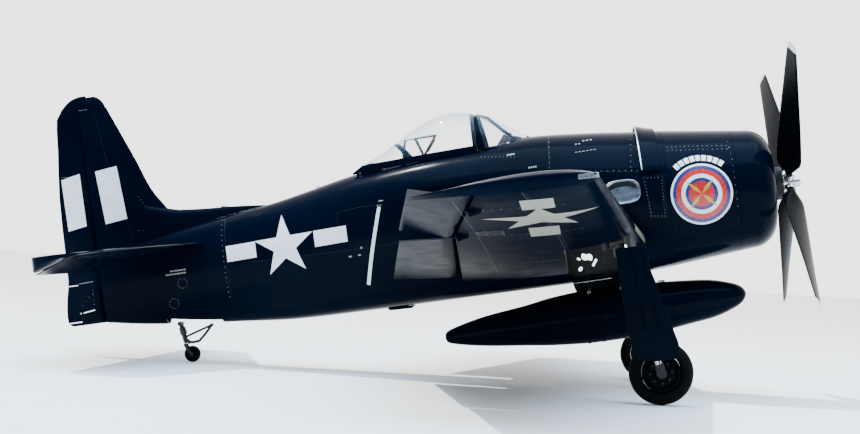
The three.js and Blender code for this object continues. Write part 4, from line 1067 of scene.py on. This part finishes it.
def make_cockpit():
    piece("cockpit_tray", hollow_box((-858, -46, 62), (-592, 46, 150), 3), COCKPIT,
          replaces=["cockpit_tub"])
    ribs = [block((-700 - 30 * k, side * 42.2 - 0.8, 70), (-696 - 30 * k, side * 42.2 + 0.8, 148))
            for k in range(5) for side in (-1, 1)]
    piece("cockpit_ribs", joined(*ribs), COCKPIT)
    for name, side in SIDES:
        piece(f"side_console_{name}", side_block(side, (-760, 28, 66), (-640, 42.5, 98)), PLASTIC, bevel=1)
        knobs = [rod((-660 - 16 * k, side * 35, 98), (-660 - 16 * k, side * 35, 103), 2.2, 2, 14)
                 for k in range(6)]
        piece(f"console_knobs_{name}", joined(*knobs), CHROME)
    bucket = hollow_box((-770, -26, 66), (-712, 26, 84), 4)
    piece("seat_bucket", bucket, COCKPIT, replaces=["pilot_seat"], bevel=1)
    back = prism([(-758, 78), (-770, 150), (-765, 152), (-752, 80)], -24, 24, "y")
    piece("seat_back", back, COCKPIT, bevel=1.5)
    pad = piece("seat_cushion", block((-757, -21, 70.5), (-717, 21, 83)), CANVAS, bevel=4)
    for k, side in enumerate((-1, 1)):
        belt = tube([(-768, side * 12, 153), (-762, side * 12, 148), (-756, side * 14, 112),
                     (-749, side * 16, 86)], 1.6, 8)
        piece(f"shoulder_strap_{k + 1}", belt, CANVAS)
    stick = tube([(-690, 0, 66), (-692, 0, 92), (-696, 0, 112)], 2.2, 12)
    piece("control_stick", stick, PLASTIC)
    grip = rod((-696, 0, 110), (-699, 0, 126), 3.6, 4.2, 16)
    piece("stick_grip", grip, PLASTIC, bevel=1)
    truss = [tube([(-849, 0, 67.5), (-816, 0, 209), (-780, 0, 210.4), (-745, 0, 211)], 2.8, 14),
             tube([(-779, 0, 168), (-747, 0, 211)], 2.8, 14),
             rod((-779, -8, 170), (-779, 8, 170), 3, 3, 16),
             rod((-792, -14, 208), (-792, 14, 208), 3, 3, 16)]
    for side in (-1, 1):
        truss.append(tube([(-800, side * 20, 66.5), (-779, side * 8, 169), (-792, side * 14, 208)], 2.9,
                          14))
    piece("headrest_truss", joined(*truss), BARE_METAL_AND_HIGHLIGHT, replaces=["headrest_frame"])
    pad = loft([[(x - 3, y, z), (x + 3, y, z - 2), (x + 3, -y, z - 2), (x - 3, -y, z)] for x, y, z in
                ((-770, 5, 178), (-765, 8, 186), (-757, 9, 196), (-751, 8, 204))])
    headrest = piece("headrest_pad", pad, BROWN, bevel=2)
    shield = [(-557, 168), (-557, 177), (-568, 181), (-580, 184), (-590, 187), (-597, 188.5), (-613, 168),
              (-616, 128), (-612, 128), (-606, 160)]
    clear = fuselage_loft(0.6, -500, -594, 96, 8)
    piece("glare_shield", prism(shield, -27, 27, "y"), BROWN, replaces=["instrument_panel"],
          cutters=[clear])
    face = loft([[(-616.4, s * 24, 130), (-617.4, s * 24, 130), (-614.6, s * 24, 167),
                  (-613.6, s * 24, 167)] for s in (-1, 1)])
    piece("panel_face", face, PLASTIC)
    dials = []
    for y, z, r in ((-17, 152, 6.5), (0, 153, 7), (17, 152, 6.5), (-17, 137, 4), (0, 137, 4.5),
                    (17, 137, 4)):
        dials.append(rod((-616, y, z), (-618.6, y, z), r, r, 28))
    piece("dial_bezels", joined(*dials), CASTING, sharp=50)
    needles = [rod((-618.5, y, z - 1), (-619, y + 2.6, z + 3.6), 0.7, 0.4, 6) for y,
               z in ((-17, 152), (0, 153), (17, 152))]
    piece("dial_needles", joined(*needles), WHITE)
    sight = joined(block((-590, -5, 184), (-578, 5, 189)),
                   rod((-583, 0, 188), (-585, 0, 193), 3.6, 4.2, 20))
    piece("gun_sight", sight, PLASTIC, bevel=0.6)


# ---- wings ----
def wing_ring(y, side, shrink=1.0):
    fine = [(1 - cos(pi * k / 26)) / 2 for k in range(27)]
    upper = [wing_point(y, s, 1, shrink) for s in reversed(fine[1:])]
    lower = [wing_point(y, s, -1, shrink) for s in fine[:-1]]
    return [(x, side * y, z) for x, z in [*upper, *lower]]


def control_ring(y, side):
    """A round nose on the hinge line carrying the wing's own tail."""
    x, z, radius, s = wing_hinge(y)
    nose = [(x + radius * cos(a), z + radius * sin(a)) for a in np.radians(np.linspace(-62, 62, 15))]
    shares = (0.02, 0.15, 0.32, 0.5, 0.68, 0.84, 0.985)
    back = {face: [wing_point(y, s + (1 - s) * f, face) for f in shares] for face in (1, -1)}
    return [(px, side * y, pz) for px, pz in [*nose, *back[1], *reversed(back[-1])]]


def spun_about(points, centre, axis, angle):
    """Points turned about an axis through a centre."""
    axis = np.array(axis, float) / np.linalg.norm(axis)
    offset = np.asarray(points, float) - centre
    along = np.outer(offset @ axis, axis)
    return [tuple(p) for p in centre + along + (offset - along) * cos(angle) + np.cross(axis,
            offset) * sin(angle)]


def on_hinge(y, side):
    x, z, _, _ = wing_hinge(y)
    return np.array((x, side * y, z))


def make_wings():
    piece("spar_tube", rod((-560, -262, -84), (-560, 262, -84), 9, 9, 32), CARBON,
          replaces=["wing_spar_tube"])
    clear = fuselage_loft(0.6, -290, -1000, 96, 12)
    for name, side in SIDES:
        rows = [(y, 1) for y in (100, WING_ROOT_Y, 215, 300, 380, 460, 550, 636, 740, 840, 950)]
        tip = [(WING_TIP_Y - 32 + out, shrink) for out, shrink in
               ((0, 1), (5, 0.93), (10, 0.82), (14, 0.72), (20, 0.58), (26, 0.44), (30, 0.3), (32, 0.18))]
        rings = [wing_ring(y, side, shrink) for y, shrink in rows + tip]

        def bay(start, end):
            edge = []
            for y in (start, end):
                x, _, radius, _ = wing_hinge(y)
                edge.append((x + radius + 0.8, side * y))
            return prism([*edge, (-1000, side * end), (-1000, side * start)], -300, 200)

        servo_bay = side_block(side, (-640, 650, -75), (-596, 690, -20))
        cutters = [clear, bay(100, 634), bay(638, 1052), servo_bay, wheel_well(side)]
        wing = piece(f"wing_skin_{name}", loft(rings), WING_NAVY, replaces=[f"wing_{name}"], sharp=30,
                     cutters=cutters)
        paint_well(wing, side)

        piece(f"servo_case_{name}", side_block(side, (-637.5, 652.5, -37), (-598.5, 687.5, -22)), PLASTIC,
              replaces=[f"aileron_servo_{name}"], bevel=1)
        hatch = [[(-643, 647), (-593, 647), (-593, 693), (-643, 693)]]
        decal(f"servo_hatch_{name}", hatch, wing_skin(side, -1, 0.7), NAVY_SATIN, -2)
        screws = spaced([(-641, 649), (-595, 649), (-595, 691), (-641, 691), (-641, 649)], 15)
        rivets(f"servo_hatch_screws_{name}", screws, wing_skin(side, -1, 0.8), 1.1)
        fairings = []
        for y in (651, 908):
            x, _, radius, s = wing_hinge(y)
            under = wing_point(y, s, -1)[1]
            fairings.append(rod((x + radius + 24, side * y, under - 1),
                                (x + radius + 1, side * y, under - 4), 5, 8, 24))
        piece(f"hinge_fairings_{name}", joined(*fairings), NAVY_SATIN, bevel=2)
        stations = np.linspace(158, 628, 9)
        piece(f"flap_skin_{name}", loft([control_ring(y, side) for y in stations]), WING_NAVY,
              replaces=[f"flap_{name}"], body=f"flap_{name}", sharp=32)
        points, faces = loft([control_ring(y, side) for y in np.linspace(641, 1049, 9)])
        start, end = on_hinge(641, side), on_hinge(1049, side)
        points = spun_about(points, start, end - start, -AILERON_REST)
        piece(f"aileron_skin_{name}", (points, faces), WING_NAVY, replaces=[f"aileron_{name}"],
              body=f"aileron_{name}", sharp=32)

        for face, tag in ((1, "upper"), (-1, "lower")):
            skin = wing_skin(side, face, 0.25)
            gaps = [[(-450, 300), (-640, 300)], [(-455, 636), (-690, 636)], [(-480, 900), (-640, 900)]]
            gaps.append([(-470, 150), (-500, 640), (-535, 1040)])
            decal(f"wing_gaps_{tag}_{name}", [q for path in gaps for q in strip(path, 0.8)],
                  wing_skin(side, face, 0.12), GAP_AND_SHADOW, 2 * face)
            lines = [([(-476, 152), (-505, 640), (-540, 1040)], 16), ([(-455, 304), (-640, 304)], 14),
                     ([(-455, 632), (-680, 632)], 14), ([(-480, 904), (-640, 904)], 14),
                     ([(-640, 165), (-640, 520), (-650, 1000)], 18)]
            spots = [s for path, gap in lines for s in spaced(path, gap)]
            spots = [(x, y) for x, y in spots if not (x > -505 and y < 420 and face < 0)
                     and not (abs(y - 670) < 26 and -646 < x < -590)]
            rivets(f"wing_rivets_{tag}_{name}", spots, skin, 0.9)
        face = 1 if side > 0 else -1
        skin = wing_skin(side, face, 0.35)
        cx, cy = -522, 787
        shapes = [star(cx, cy, 105), bar(-27, 27, 96, 188, cx, cy, 0), bar(-27, 27, -184, -92, cx, cy, 0)]
        # The star on the starboard wing's lower face is painted grey-white as shade; the port star on the
        # upper face is white.
        decal(f"wing_star_{name}", shapes, skin, GREY_WHITE if side < 0 else WHITE, 2 * face)
        tip_x, tip_z = wing_point(1064, 0, 1)
        corner = [(tip_x + 1.2, 1056), (tip_x + 1.4, 1066), (tip_x - 1, 1075), (tip_x - 7, 1082.5),
                  (tip_x - 30, 1083.6), (tip_x - 30, 1074), (tip_x - 6, 1060)]
        lamp = loft([[(x, side * y, tip_z + h) for x, y in corner] for h in (-3.6, -1.2, 1.2, 3.6)])
        piece(f"tip_lamp_{name}", lamp, LENS, sharp=60, bevel=1)


def paint_well(wing, side):
    """Primer on every wing face that looks into the wheel well."""
    mesh = wing.data
    mesh.materials.append(PRIMER)
    for polygon in mesh.polygons:
        x, y, z = (np.array(polygon.center) - ORIGIN) @ AXES.T * 1000
        if x > -499 and abs(y) < 409.5 and 100 < abs(y):
            front, _, chord, _, _ = wing_section(max(abs(y), WING_ROOT_Y))
            s = (front - x) / chord
            if s <= 0:
                continue
            top, bottom = wing_point(abs(y), s, 1)[1], wing_point(abs(y), s, -1)[1]
            if bottom + 1.2 < z < top - 1.2:
                polygon.material_index = 1


# ---- tail ----
def make_tail():
    rear = ELEVATOR_HINGE_X + 8.8

    def stab_ring(y, tail, droop=0):
        out = abs(y) / STAB_HALF_SPAN
        front = -1270 - 128 * out - 450 * max(0, out - 0.94)
        half = 12 - 6.5 * out
        profile = []
        for s in [(1 - cos(pi / 2 * k / 12)) for k in range(13)]:
            z = half * min(1, 1.3 * sqrt(s) * (1 - 0.23 * s)) * (1 - 0.15 * s if tail < -1500 else 1)
            profile.append((front + (tail - front) * s, z))
        top = [(x, y, stab_height(y) + z) for x, z in profile]
        drop = [max(0, ELEVATOR_HINGE_X - x) * droop for x, _ in profile]
        under = [(x, y, stab_height(y) - z - low) for (x, z),
                 low in zip(reversed(profile[1:]), reversed(drop[1:]))]
        return [*top, *under]

    stations = [-STAB_TIP_Y, -380, -300, -200, -120, -60, 60, 120, 200, 300, 380, STAB_TIP_Y]
    piece("tailplane", loft([stab_ring(y, rear) for y in stations]), NAVY, replaces=["stabilizer"],
          sharp=35)
    for name, side in SIDES:
        rows = [(STAB_TIP_Y - 0.1, -1530, 0.3), (456, -1530, 0.3), (466, -1529, 0.28), (474, -1523, 0.22),
                (STAB_HALF_SPAN, -1514, 0.1)]
        piece(f"tailplane_tip_{name}", loft([stab_ring(side * y, tail, droop) for y, tail, droop in rows]),
              NAVY, sharp=35)
        inner, outer = 37, 440
        start = np.array((ELEVATOR_HINGE_X, side * inner, stab_height(inner)))
        end = np.array((ELEVATOR_HINGE_X, side * outer, stab_height(outer)))
        rings = []
        for y in np.linspace(inner, outer, 9):
            half = 8 - 4 * (y / STAB_HALF_SPAN)
            ring = [(half * cos(a), half * sin(a)) for a in np.radians(np.linspace(-80, 80, 17))]
            ring += [(-40, half * 0.5), (-77, 0.8), (-77, -0.8), (-40, -half * 0.5)]
            rings.append([(ELEVATOR_HINGE_X + x, side * y, stab_height(y) + z) for x, z in ring])
        points, faces = loft(rings)
        points = spun_about(points, start, (end - start) * side, -ELEVATOR_DROOP)
        piece(f"elevator_skin_{name}", (points, faces), NAVY, replaces=[f"elevator_{name}"],
              body=f"elevator_{name}", sharp=32)

    def fin_ring(z):
        front, rear = fin_chord(z)
        shares = [0, 0.004, 0.015, 0.035, 0.065, 0.11, 0.18, 0.28, 0.4, 0.55, 0.7, 0.85, 1]
        return both_halves([(front + (rear - front) * s, fin_swell(z, s)) for s in shares], z, 1)

    clear = fuselage_loft(0.4, -1000, -1538, 96, 12)
    levels = [40, *np.linspace(60, 381, 22)]
    piece("fin_skin", loft([fin_ring(z) for z in levels]), NAVY, replaces=["fin"], sharp=32,
          cutters=[clear])
    ridge = [(-1131, 108, 2), (-1160, 112, 3.6), (-1200, 116, 6), (-1240, 119, 7.6), (-1280, 121, 9),
             (-1315, 124, 10.6), (-1345, 127, 12), (-1385, 138, 12.6), (-1420, 150, 13)]
    rows = []
    for x, top, half in ridge:
        side_points = [(half * 1.15, 40), (half, top - 22), (half * 0.82, top - 10),
                       (half * 0.55, top - 3.5), (half * 0.22, top - 0.4)]
        rows.append([*((x, y, z) for y, z in side_points), *((x, -y, z) for y, z in reversed(side_points))])
    piece("fin_fillet", loft(rows), NAVY, sharp=40, cutters=[clear])
    tip = []
    for z, front, half in ((379, -1483.4, 5.1), (386, -1485.5, 5), (392, -1488, 4.6), (398, -1492, 4),
                           (402, -1496, 3.6), (406, -1501, 2.8), (409, -1508, 1.5)):
        tip.append(both_halves([(front, 0), (front - 3, half * 0.6), (front - 9, half), (-1526, half)], z,
                               1))
    piece("fin_tip", loft(tip), NAVY, sharp=40)

    def rudder_ring(z):
        tail, = curve(RUDDER_EDGE, z)
        half = fin_thickness(z) - 1
        nose = [(RUDDER_HINGE_X + half * cos(a), half * sin(a))
                for a in np.radians(np.linspace(-80, 80, 17))]
        return [*((x, y, z) for x, y in nose), (tail, 0.8, z), (tail, -0.8, z)]

    levels = [-103, -100, -96, -90, -80, -65, -50, -25, 0, 40, 75, 130, 190, 250, 300, 340, 368, 378, 382.5]
    tab_bay = block((-1700, -30, -96), (-1596, 30, -11))
    piece("rudder_skin", loft([rudder_ring(z) for z in levels]), NAVY, replaces=["rudder"], body="rudder",
          sharp=32, cutters=[tab_bay])
    horn = []
    for z, tail, half in ((381.9, -1590, 4.7), (389, -1586, 4.4), (393, -1581, 4), (398, -1576, 3.5),
                          (402, -1571, 3), (406, -1565, 2.5), (409, -1559, 2), (413, -1543, 0.8)):
        horn.append(both_halves([(-1527, half * 0.8), (-1529, half), (-1540, half), (tail, 0.7)], z))
    piece("rudder_horn", loft(horn), NAVY, body="rudder", sharp=40)
    piece("rudder_neck", rod((RUDDER_HINGE_X, 0, 378), (RUDDER_HINGE_X, 0, 392), 4), NAVY, body="rudder")
    rows = []
    for z in np.linspace(-94, -12.5, 7):
        tail, = curve(RUDDER_EDGE, z)
        rows.append([(-1597.5, 2.5, z), (-1597.5, -2.5, z), (tail, -0.8, z), (tail, 0.8, z)])
    piece("tab_skin", loft(rows), NAVY, replaces=["rudder_tab"], body="rudder_tab", sharp=32)

    for name, side in SIDES:
        seams = strip([(-1452, 70), (-1470, 130), (-1492, 250), (-1512, 378)], 0.7)
        decal(f"fin_gaps_{name}", seams, fin_skin(side, 0.12), GAP_AND_SHADOW, side)
        spots = [*spaced([(-1396, 100), (-1410, 130), (-1432, 168)], 9),
                 *spaced([(-1380, 84), (-1440, 92)], 10)]
        rivets(f"fin_rivets_{name}", spots, fin_skin(side, 0.2), 0.7)
        # Light metal lines on the rudder: the lowest, wider one is a painted highlight along an edge; the
        # two thin ones higher up are light lines.
        lines = [strip([(-1558, -8), (-1594, -9)], 1.2), strip([(-1558, 60), (-1608, 62)], 0.7),
                 strip([(-1558, 232), (-1606, 236)], 0.7)]
        decal(f"rudder_lines_and_highlight_{name}", [q for line in lines for q in line], rudder_skin(side, 0.15), BARE_METAL_AND_HIGHLIGHT,
              side, body="rudder")
        spots = [*spaced([(-1562, -34), (-1590, -58)], 13), *spaced([(-1560, -16), (-1562, -60)], 12)]
        rivets(f"rudder_rivets_{name}", spots, rudder_skin(side, 0.2), 0.8, body="rudder")

    rod_end = joined(tube([(-1594.6, -4.6, -76), (-1560, -14.5, -72)], 1.5, 10),
                     rod((-1594.6, -2.6, -76), (-1594.6, -6, -76), 2.8, 2.8, 16))
    piece("tab_pushrod", rod_end, CHROME, body="rudder")


# ---- drop tank ----
def make_tank():
    rows = []
    for x in [-123, -123.3, -124.5, -127, -131, -137, -145, -155, -168, -182, *np.linspace(-200, -730, 42),
              -745, -758, -768, -776, -781, -784, -785]:
        height, radius = curve(TANK, x)
        rows.append((x, height, max(radius, 0.3)))
    rings = [[(x, r * cos(a), z + r * sin(a)) for a in circle(72)] for x, z, r in rows]
    piece("tank_shell", loft(rings), NAVY, replaces=["drop_tank"], sharp=40)

    def band(x, width, lift):
        height, radius = curve(TANK, x)
        ring = [(radius - 1, x), (radius + lift, x), (radius + lift, x - width), (radius - 1, x - width)]
        return revolve(ring, lambda r, d, a: (d, r * cos(a), height + r * sin(a)), 72)

    piece("tank_seam", band(-438, 5, 0.7), NAVY_SATIN, sharp=40)
    straps = [band(-376, 7, 0.9), band(-468, 7, 0.9)]
    piece("tank_straps", joined(*straps), NAVY_SATIN, sharp=40)
    cap = joined(turned_at((-300, 0, -177), [(9, -3), (9, 2), (7.5, 3), (0.01, 3)]),
                 block((-306, -1, -174), (-294, 1, -172.6)))
    piece("tank_filler", cap, ALUMINIUM)

    clear = fuselage_loft(0.4, -300, -560, 96, 12)
    outline = [(-352, -150), (-356, -168), (-366, -190), (-478, -190), (-488, -168), (-492, -150)]
    tank_cut = loft([[(x, (r + 0.3) * cos(a), z + (r + 0.3) * sin(a)) for a in circle(48)] for x, z,
                     r in rows])
    piece("tank_strut", prism(outline, -8, 8, "y"), NAVY_SATIN, replaces=["tank_pylon"],
          cutters=[clear, tank_cut], bevel=2)
    braces = []
    for x in (-385, -455):
        for side in (-1, 1):
            braces.append(tube([(x, side * 7, -160), (x - 2, side * 22, -168), (x - 3, side * 27, -179)],
                               2.2, 10))
            braces.append(rod((x - 3, side * 27, -177), (x - 3.5, side * 28, -183), 4.2, 4.6, 18))
    piece("sway_braces", joined(*braces), ALUMINIUM)


# ---- landing gear ----
def make_main_gear(name, side):
    pivot = np.array((GEAR_PIVOT[0], side * GEAR_PIVOT[1], GEAR_PIVOT[2]), float)
    axle = np.array((WHEEL[0], side * GEAR_PIVOT[1], WHEEL[2]), float)
    hinge = np.array((1, -0.2 * side, 0.1)) / sqrt(1.05)
    centre = (WHEEL[0], side * WHEEL[1], WHEEL[2])

    def at(t):
        return tuple(pivot + (axle - pivot) * t)

    def wheel_point(r, d, a):
        return centre[0] + r * cos(a), centre[1] + d, centre[2] + r * sin(a)

    def skin(x, z):
        return x, side * 398.25, z

    cheeks = [side_block(side, (x0, 366, z0), (x1, 394, z1)) for x0, x1, z0, z1 in
              ((-422, -367, -66, -58), (-422, -414.5, -97, -64), (-374, -367, -97, -64))]
    piece(f"retract_frame_{name}", joined(*cheeks), CASTING, replaces=[f"retract_unit_{name}"], bevel=1)
    bolts = [rod((x, side * y, -58.4), (x, side * y, -56.2), 2.6, 2.4, 6) for x in (-417, -372)
             for y in (370, 390)]
    piece(f"retract_bolts_{name}", joined(*bolts), CASTING)
    trunnion = rod(tuple(pivot - hinge * 18), tuple(pivot + hinge * 12), 10, 10, 32)
    barrel = joined(rod(at(0.02), at(0.56), 11.4, 11.4, 36), rod(at(0.5), at(0.56), 12.6, 12.6, 36),
                    rod(at(0.27), at(0.29), 12.8, 12.8, 36), rod(at(0.06), at(0.1), 13.4, 13.4, 36))
    piece(f"leg_barrel_{name}", joined(trunnion, barrel), CASTING, replaces=[f"gear_leg_{name}"],
          body=f"gear_leg_{name}")
    stub_end = (WHEEL[0], side * 337, WHEEL[2])
    piece(f"oleo_rod_{name}", rod(at(0.5), at(0.985), 7.4, 7.4, 36), CHROME, replaces=[f"gear_oleo_{name}"],
          body=f"gear_oleo_{name}")
    knuckle = [rod((axle[0], axle[1] + side * 8, axle[2]), (axle[0], axle[1] - side * 8, axle[2]), 10, 10,
                   32),
               rod(tuple(axle), stub_end, 4.9, 4.9, 28), rod(at(0.93), at(0.975), 9.4, 10, 32),
               rod(stub_end, (WHEEL[0], side * 335.5, WHEEL[2]), 6.4, 6.4, 6)]
    piece(f"axle_block_{name}", joined(*knuckle), CASTING, body=f"gear_oleo_{name}", bevel=0.6)

    rim = [(5.6, -13), (10, -13), (12, -12), (14, -8.5), (28, -7.5), (32, -12), (34, -13), (36.5, -12.6),
           (38, -10), (38, 10), (36.5, 12.6), (34, 13), (32, 12), (28, 7.5), (14, 8.5), (12, 12), (10, 13),
           (5.6, 13)]
    piece(f"rim_{name}", revolve(rim, wheel_point, 72), PROP_BLACK, replaces=[f"wheel_hub_{name}"],
          body=f"wheel_{name}", sharp=30)
    nuts = [rod(wheel_point(21, face * 7.6, a), wheel_point(21, face * 10.4, a), 2.1, 2.1, 6)
            for a in circle(8) for face in (-1, 1)]
    piece(f"rim_nuts_{name}", joined(*nuts), CASTING, body=f"wheel_{name}")
    tread = []
    for a in circle(40):
        r, d = 50.7 + 12.3 * power(cos(a), 0.8), 17 * power(sin(a), 0.8)
        in_groove = r > 55 and min(abs(d - groove) for groove in (-8, 0, 8)) < 1.2
        tread.append((r - (1.2 if in_groove else 0), d))
    piece(f"tyre_body_{name}", revolve(tread, wheel_point, 120), RUBBER, replaces=[f"tyre_{name}"],
          body=f"wheel_{name}", sharp=40)

    outline = [(-398, -97), (-339, -97), (-336, -146), (-328, -178), (-321, -207), (-309, -264),
               (-303, -290), (-302, -302), (-306, -322), (-350, -322), (-378, -316), (-389, -308),
               (-394, -270), (-397, -200)]
    low, high = sorted((side * 395.2, side * 398))
    piece(f"door_panel_{name}", prism(outline, low, high, "y"), NAVY, replaces=[f"gear_door_{name}"],
          body=f"gear_leg_{name}", bevel=0.8)
    low, high = sorted((side * 394, side * 395.4))
    ribs = [prism(rib, low, high, "y") for rib in (
        [(-388, -105), (-380, -105), (-376, -300), (-384, -300)],
        [(-352, -105), (-344, -105), (-322, -300), (-331, -300)],
        [(-386, -258), (-314, -258), (-313, -264), (-386, -264)],
        [(-388, -180), (-334, -180), (-333, -187), (-388, -187)],
    )]
    piece(f"door_ribs_{name}", joined(*ribs), PRIMER, body=f"gear_leg_{name}", bevel=0.4)
    ears = [rod((at(t)[0], side * 392.4, at(t)[2]), (at(t)[0], side * 396, at(t)[2]), 9, 9, 24)
            for t in (0.15, 0.42)]
    piece(f"door_clamps_{name}", joined(*ears), CASTING, body=f"gear_leg_{name}")
    stripes = [[(-373, -104), (-364, -104), (-358, -262), (-367, -262)],
               [(-351, -104), (-346, -104), (-333, -262), (-340, -262)]]
    decal(f"door_pressings_{name}", stripes, skin, NAVY_SATIN, side, body=f"gear_leg_{name}")
    spots = [*spaced([(-392, -104), (-391, -200), (-387, -300)], 12),
             *spaced([(-345, -104), (-342, -146), (-327, -207), (-312, -290)], 12),
             *spaced([(-385, -264), (-316, -264)], 9), *spaced([(-383, -312), (-312, -316)], 10)]
    rivets(f"door_rivets_{name}", spots, skin, 0.8, body=f"gear_leg_{name}", finish=NAVY_SATIN)


def make_tail_gear():
    pivot, head, knee, brow = (-1373, 0, -128), (-1366, 0, -169), (-1336, 0, -172), (-1303, 0, -140)
    bars = [
        rod((pivot[0], -13, pivot[2]), (pivot[0], 13, pivot[2]), 4.5, 4.5, 24),
        rod(pivot, head, 5, 6, 24),
        tube([head, (-1352, 0, -173), knee], 3, 14),
        tube([knee, (-1320, 0, -158), brow], 3, 14),
        tube([(-1369, 0, -160), (-1336, 0, -150), brow], 2.5, 14),
        rod((-1364, 0, -165), (-1364, 0, -173.1), 7, 7, 28),
        rod((-1303, -4, -140), (-1303, 4, -140), 3.6, 3.6, 18),
    ]
    piece("tail_strut", joined(*bars), CASTING, replaces=["tail_leg"], body="tail_leg")
    piece("tail_boot", rod((-1371.5, 0, -137), (-1368.5, 0, -153), 7.4, 8.2, 28), PLASTIC, body="tail_leg")
    arms = [rod((-1364, 0, -173.7), (-1364, 0, -176), 7, 7, 28),
            rod((-1354.8, -13, -198.6), (-1354.8, 13, -198.6), 2.4, 2.4, 20)]
    for side in (-1, 1):
        top = (-1368, side * 10.5, -174.9)
        arms.append(tube([(-1366, 0, -174.9), top], 1.4, 12))
        arms.append(tube([top, (-1364, side * 10.6, -184), (-1354.8, side * 10.5, -198.6)], 2.7, 14))
        arms.append(rod((-1354.8, side * 9.4, -198.6), (-1354.8, side * 12, -198.6), 4.4, 4.4, 20))
    piece("tail_yoke", joined(*arms), CASTING, replaces=["tail_fork"], body="tail_fork")

    def wheel_point(r, d, a):
        return -1354.8 + r * cos(a), d, -198.6 + r * sin(a)

    tyre = [(9.5, -6.2), (13, -6.5), (15.6, -6), (17.3, -4.5), (18.2, -2), (18.3, 0), (18.2, 2),
            (17.3, 4.5), (15.6, 6), (13, 6.5), (9.5, 6.2)]
    piece("tail_tyre", revolve(tyre, wheel_point, 72), RUBBER, replaces=["tail_wheel"], body="tail_wheel",
          sharp=50)
    core = [(2.7, -6.2), (6, -6.2), (7, -4), (10, -4.6), (10, 4.6), (7, 4), (6, 6.2), (2.7, 6.2)]
    piece("tail_rim", revolve(core, wheel_point, 48), PROP_BLACK, body="tail_wheel", sharp=30)


# ---- radio gear and power ----
def make_radio():
    piece("battery_body", block((-470, -38, -36), (-300, 38, 34)), WRAP, replaces=["battery_pack"], bevel=4)
    straps = [joined(block((x, -39, -37), (x + 18, 39, -36)), block((x, -39, 34), (x + 18, 39, 35)),
                     block((x, -39, -36), (x + 18, -38, 34)), block((x, 38, -36), (x + 18, 39, 34)))
                     for x in (-430, -350)]
    piece("battery_straps", joined(*straps), CANVAS)
    fins = [block((-358 + 7 * k, -28, 58), (-355 + 7 * k, 28, 62)) for k in range(10)]
    piece("controller_body", joined(block((-360, -30, 44), (-290, 30, 58)), *fins), PLASTIC,
          replaces=["speed_controller"], bevel=0.6)
    piece("tray_plate", block((-960, -52, -60), (-860, 52, -54)), PLY, replaces=["servo_tray"], bevel=0.5)
    servo = joined(block((-900, -10, -53.6), (-860, 10, -16)),
                   rod((-870, 0, -16), (-870, 0, -12), 5, 5, 24))
    piece("servo_body", servo, PLASTIC, replaces=["rudder_servo"], bevel=0.6)
    arm = joined(block((-873, -16, -12), (-867, 16, -10)),
                 rod((-870, 0, -12), (-870, 0, -8.6), 3.4, 3.4, 20))
    piece("servo_arm", arm, PLASTIC, bevel=0.5)
    piece("receiver_case", block((-945, -22, -54), (-912, 22, -40)), PLASTIC, bevel=1.5)


# ---- studio ----
def make_studio():
    bpy.ops.mesh.primitive_grid_add(x_subdivisions=20, y_subdivisions=20, size=60, location=(0, 0, -0.0005))
    floor = bpy.context.object
    floor.name = "studio_floor_plane"
    floor.data.materials.append(FLOOR)

    world = bpy.data.worlds.new("studio_world")
    bpy.context.scene.world = world
    world.use_nodes = True
    nodes, links = world.node_tree.nodes, world.node_tree.links
    where = nodes.new("ShaderNodeTexCoord")
    split = nodes.new("ShaderNodeSeparateXYZ")
    links.new(where.outputs["Generated"], split.inputs["Vector"])
    height = spread(world, split.outputs["Y"], 0, 1, -1, 1)
    fade = ramp(world, height, ((0.25, (0.025, 0.035, 0.05)), (0.75, (0.97, 0.98, 1.0))))
    links.new(fade, nodes["Background"].inputs["Color"])
    nodes["Background"].inputs["Strength"].default_value = 3.2

    def lamp(name, kind, spot, aim, energy, size, colour):
        data = bpy.data.lights.new(name, kind)
        data.energy = energy
        data.color = colour
        if kind == "AREA":
            data.shape = "RECTANGLE"
            data.size, data.size_y = size, size * 0.7
        else:
            data.angle = size
        made = bpy.data.objects.new(name, data)
        made.location = spot
        made.rotation_euler = (Vector(aim) - Vector(spot)).to_track_quat("-Z", "Y").to_euler()
        bpy.context.scene.collection.objects.link(made)

    lamp("key_sun", "SUN", (-4.21, 1.05, 8.91), (0, 0, 0), 5.5, 0.02, (1, 0.985, 0.96))
    lamp("fill_front", "AREA", (1.5, -5.5, 3.2), (0, 0, 0.4), 8, 4.0, (0.9, 0.95, 1))
    lamp("top_softbox", "AREA", (0.3, -1.5, 5.5), (0, 0, 0.4), 1100, 7.0, (0.5, 0.74, 1))

    yaw, pitch, roll = map(radians, (-5.382, 2.754, -7.637))
    forward = np.array((sin(yaw) * cos(pitch), cos(yaw) * cos(pitch), sin(pitch)))
    right = np.array((cos(yaw), -sin(yaw), 0))
    up = np.cross(right, forward)
    across = cos(roll) * right + sin(roll) * up
    above = -sin(roll) * right + cos(roll) * up
    turn = np.array([v @ AXES for v in (across, above, -forward)]).T
    data = bpy.data.cameras.new("photo_camera")
    data.sensor_width = 36
    data.lens = 64.57
    data.clip_end = 200
    camera = bpy.data.objects.new("photo_camera", data)
    spot = place([(-463, -3401, -131.8)])[0]
    camera.matrix_world = Matrix([(*turn[k], spot[k]) for k in range(3)] + [(0, 0, 0, 1)])
    bpy.context.scene.collection.objects.link(camera)
    bpy.context.scene.camera = camera


make_propeller()
make_cowl()
make_fuselage()
make_body_details()
make_markings()
make_canopy()
make_windshield()
make_cockpit()
make_wings()
make_tail()
make_tank()
for name, side in SIDES:
    make_main_gear(name, side)
make_tail_gear()
make_radio()
make_studio()
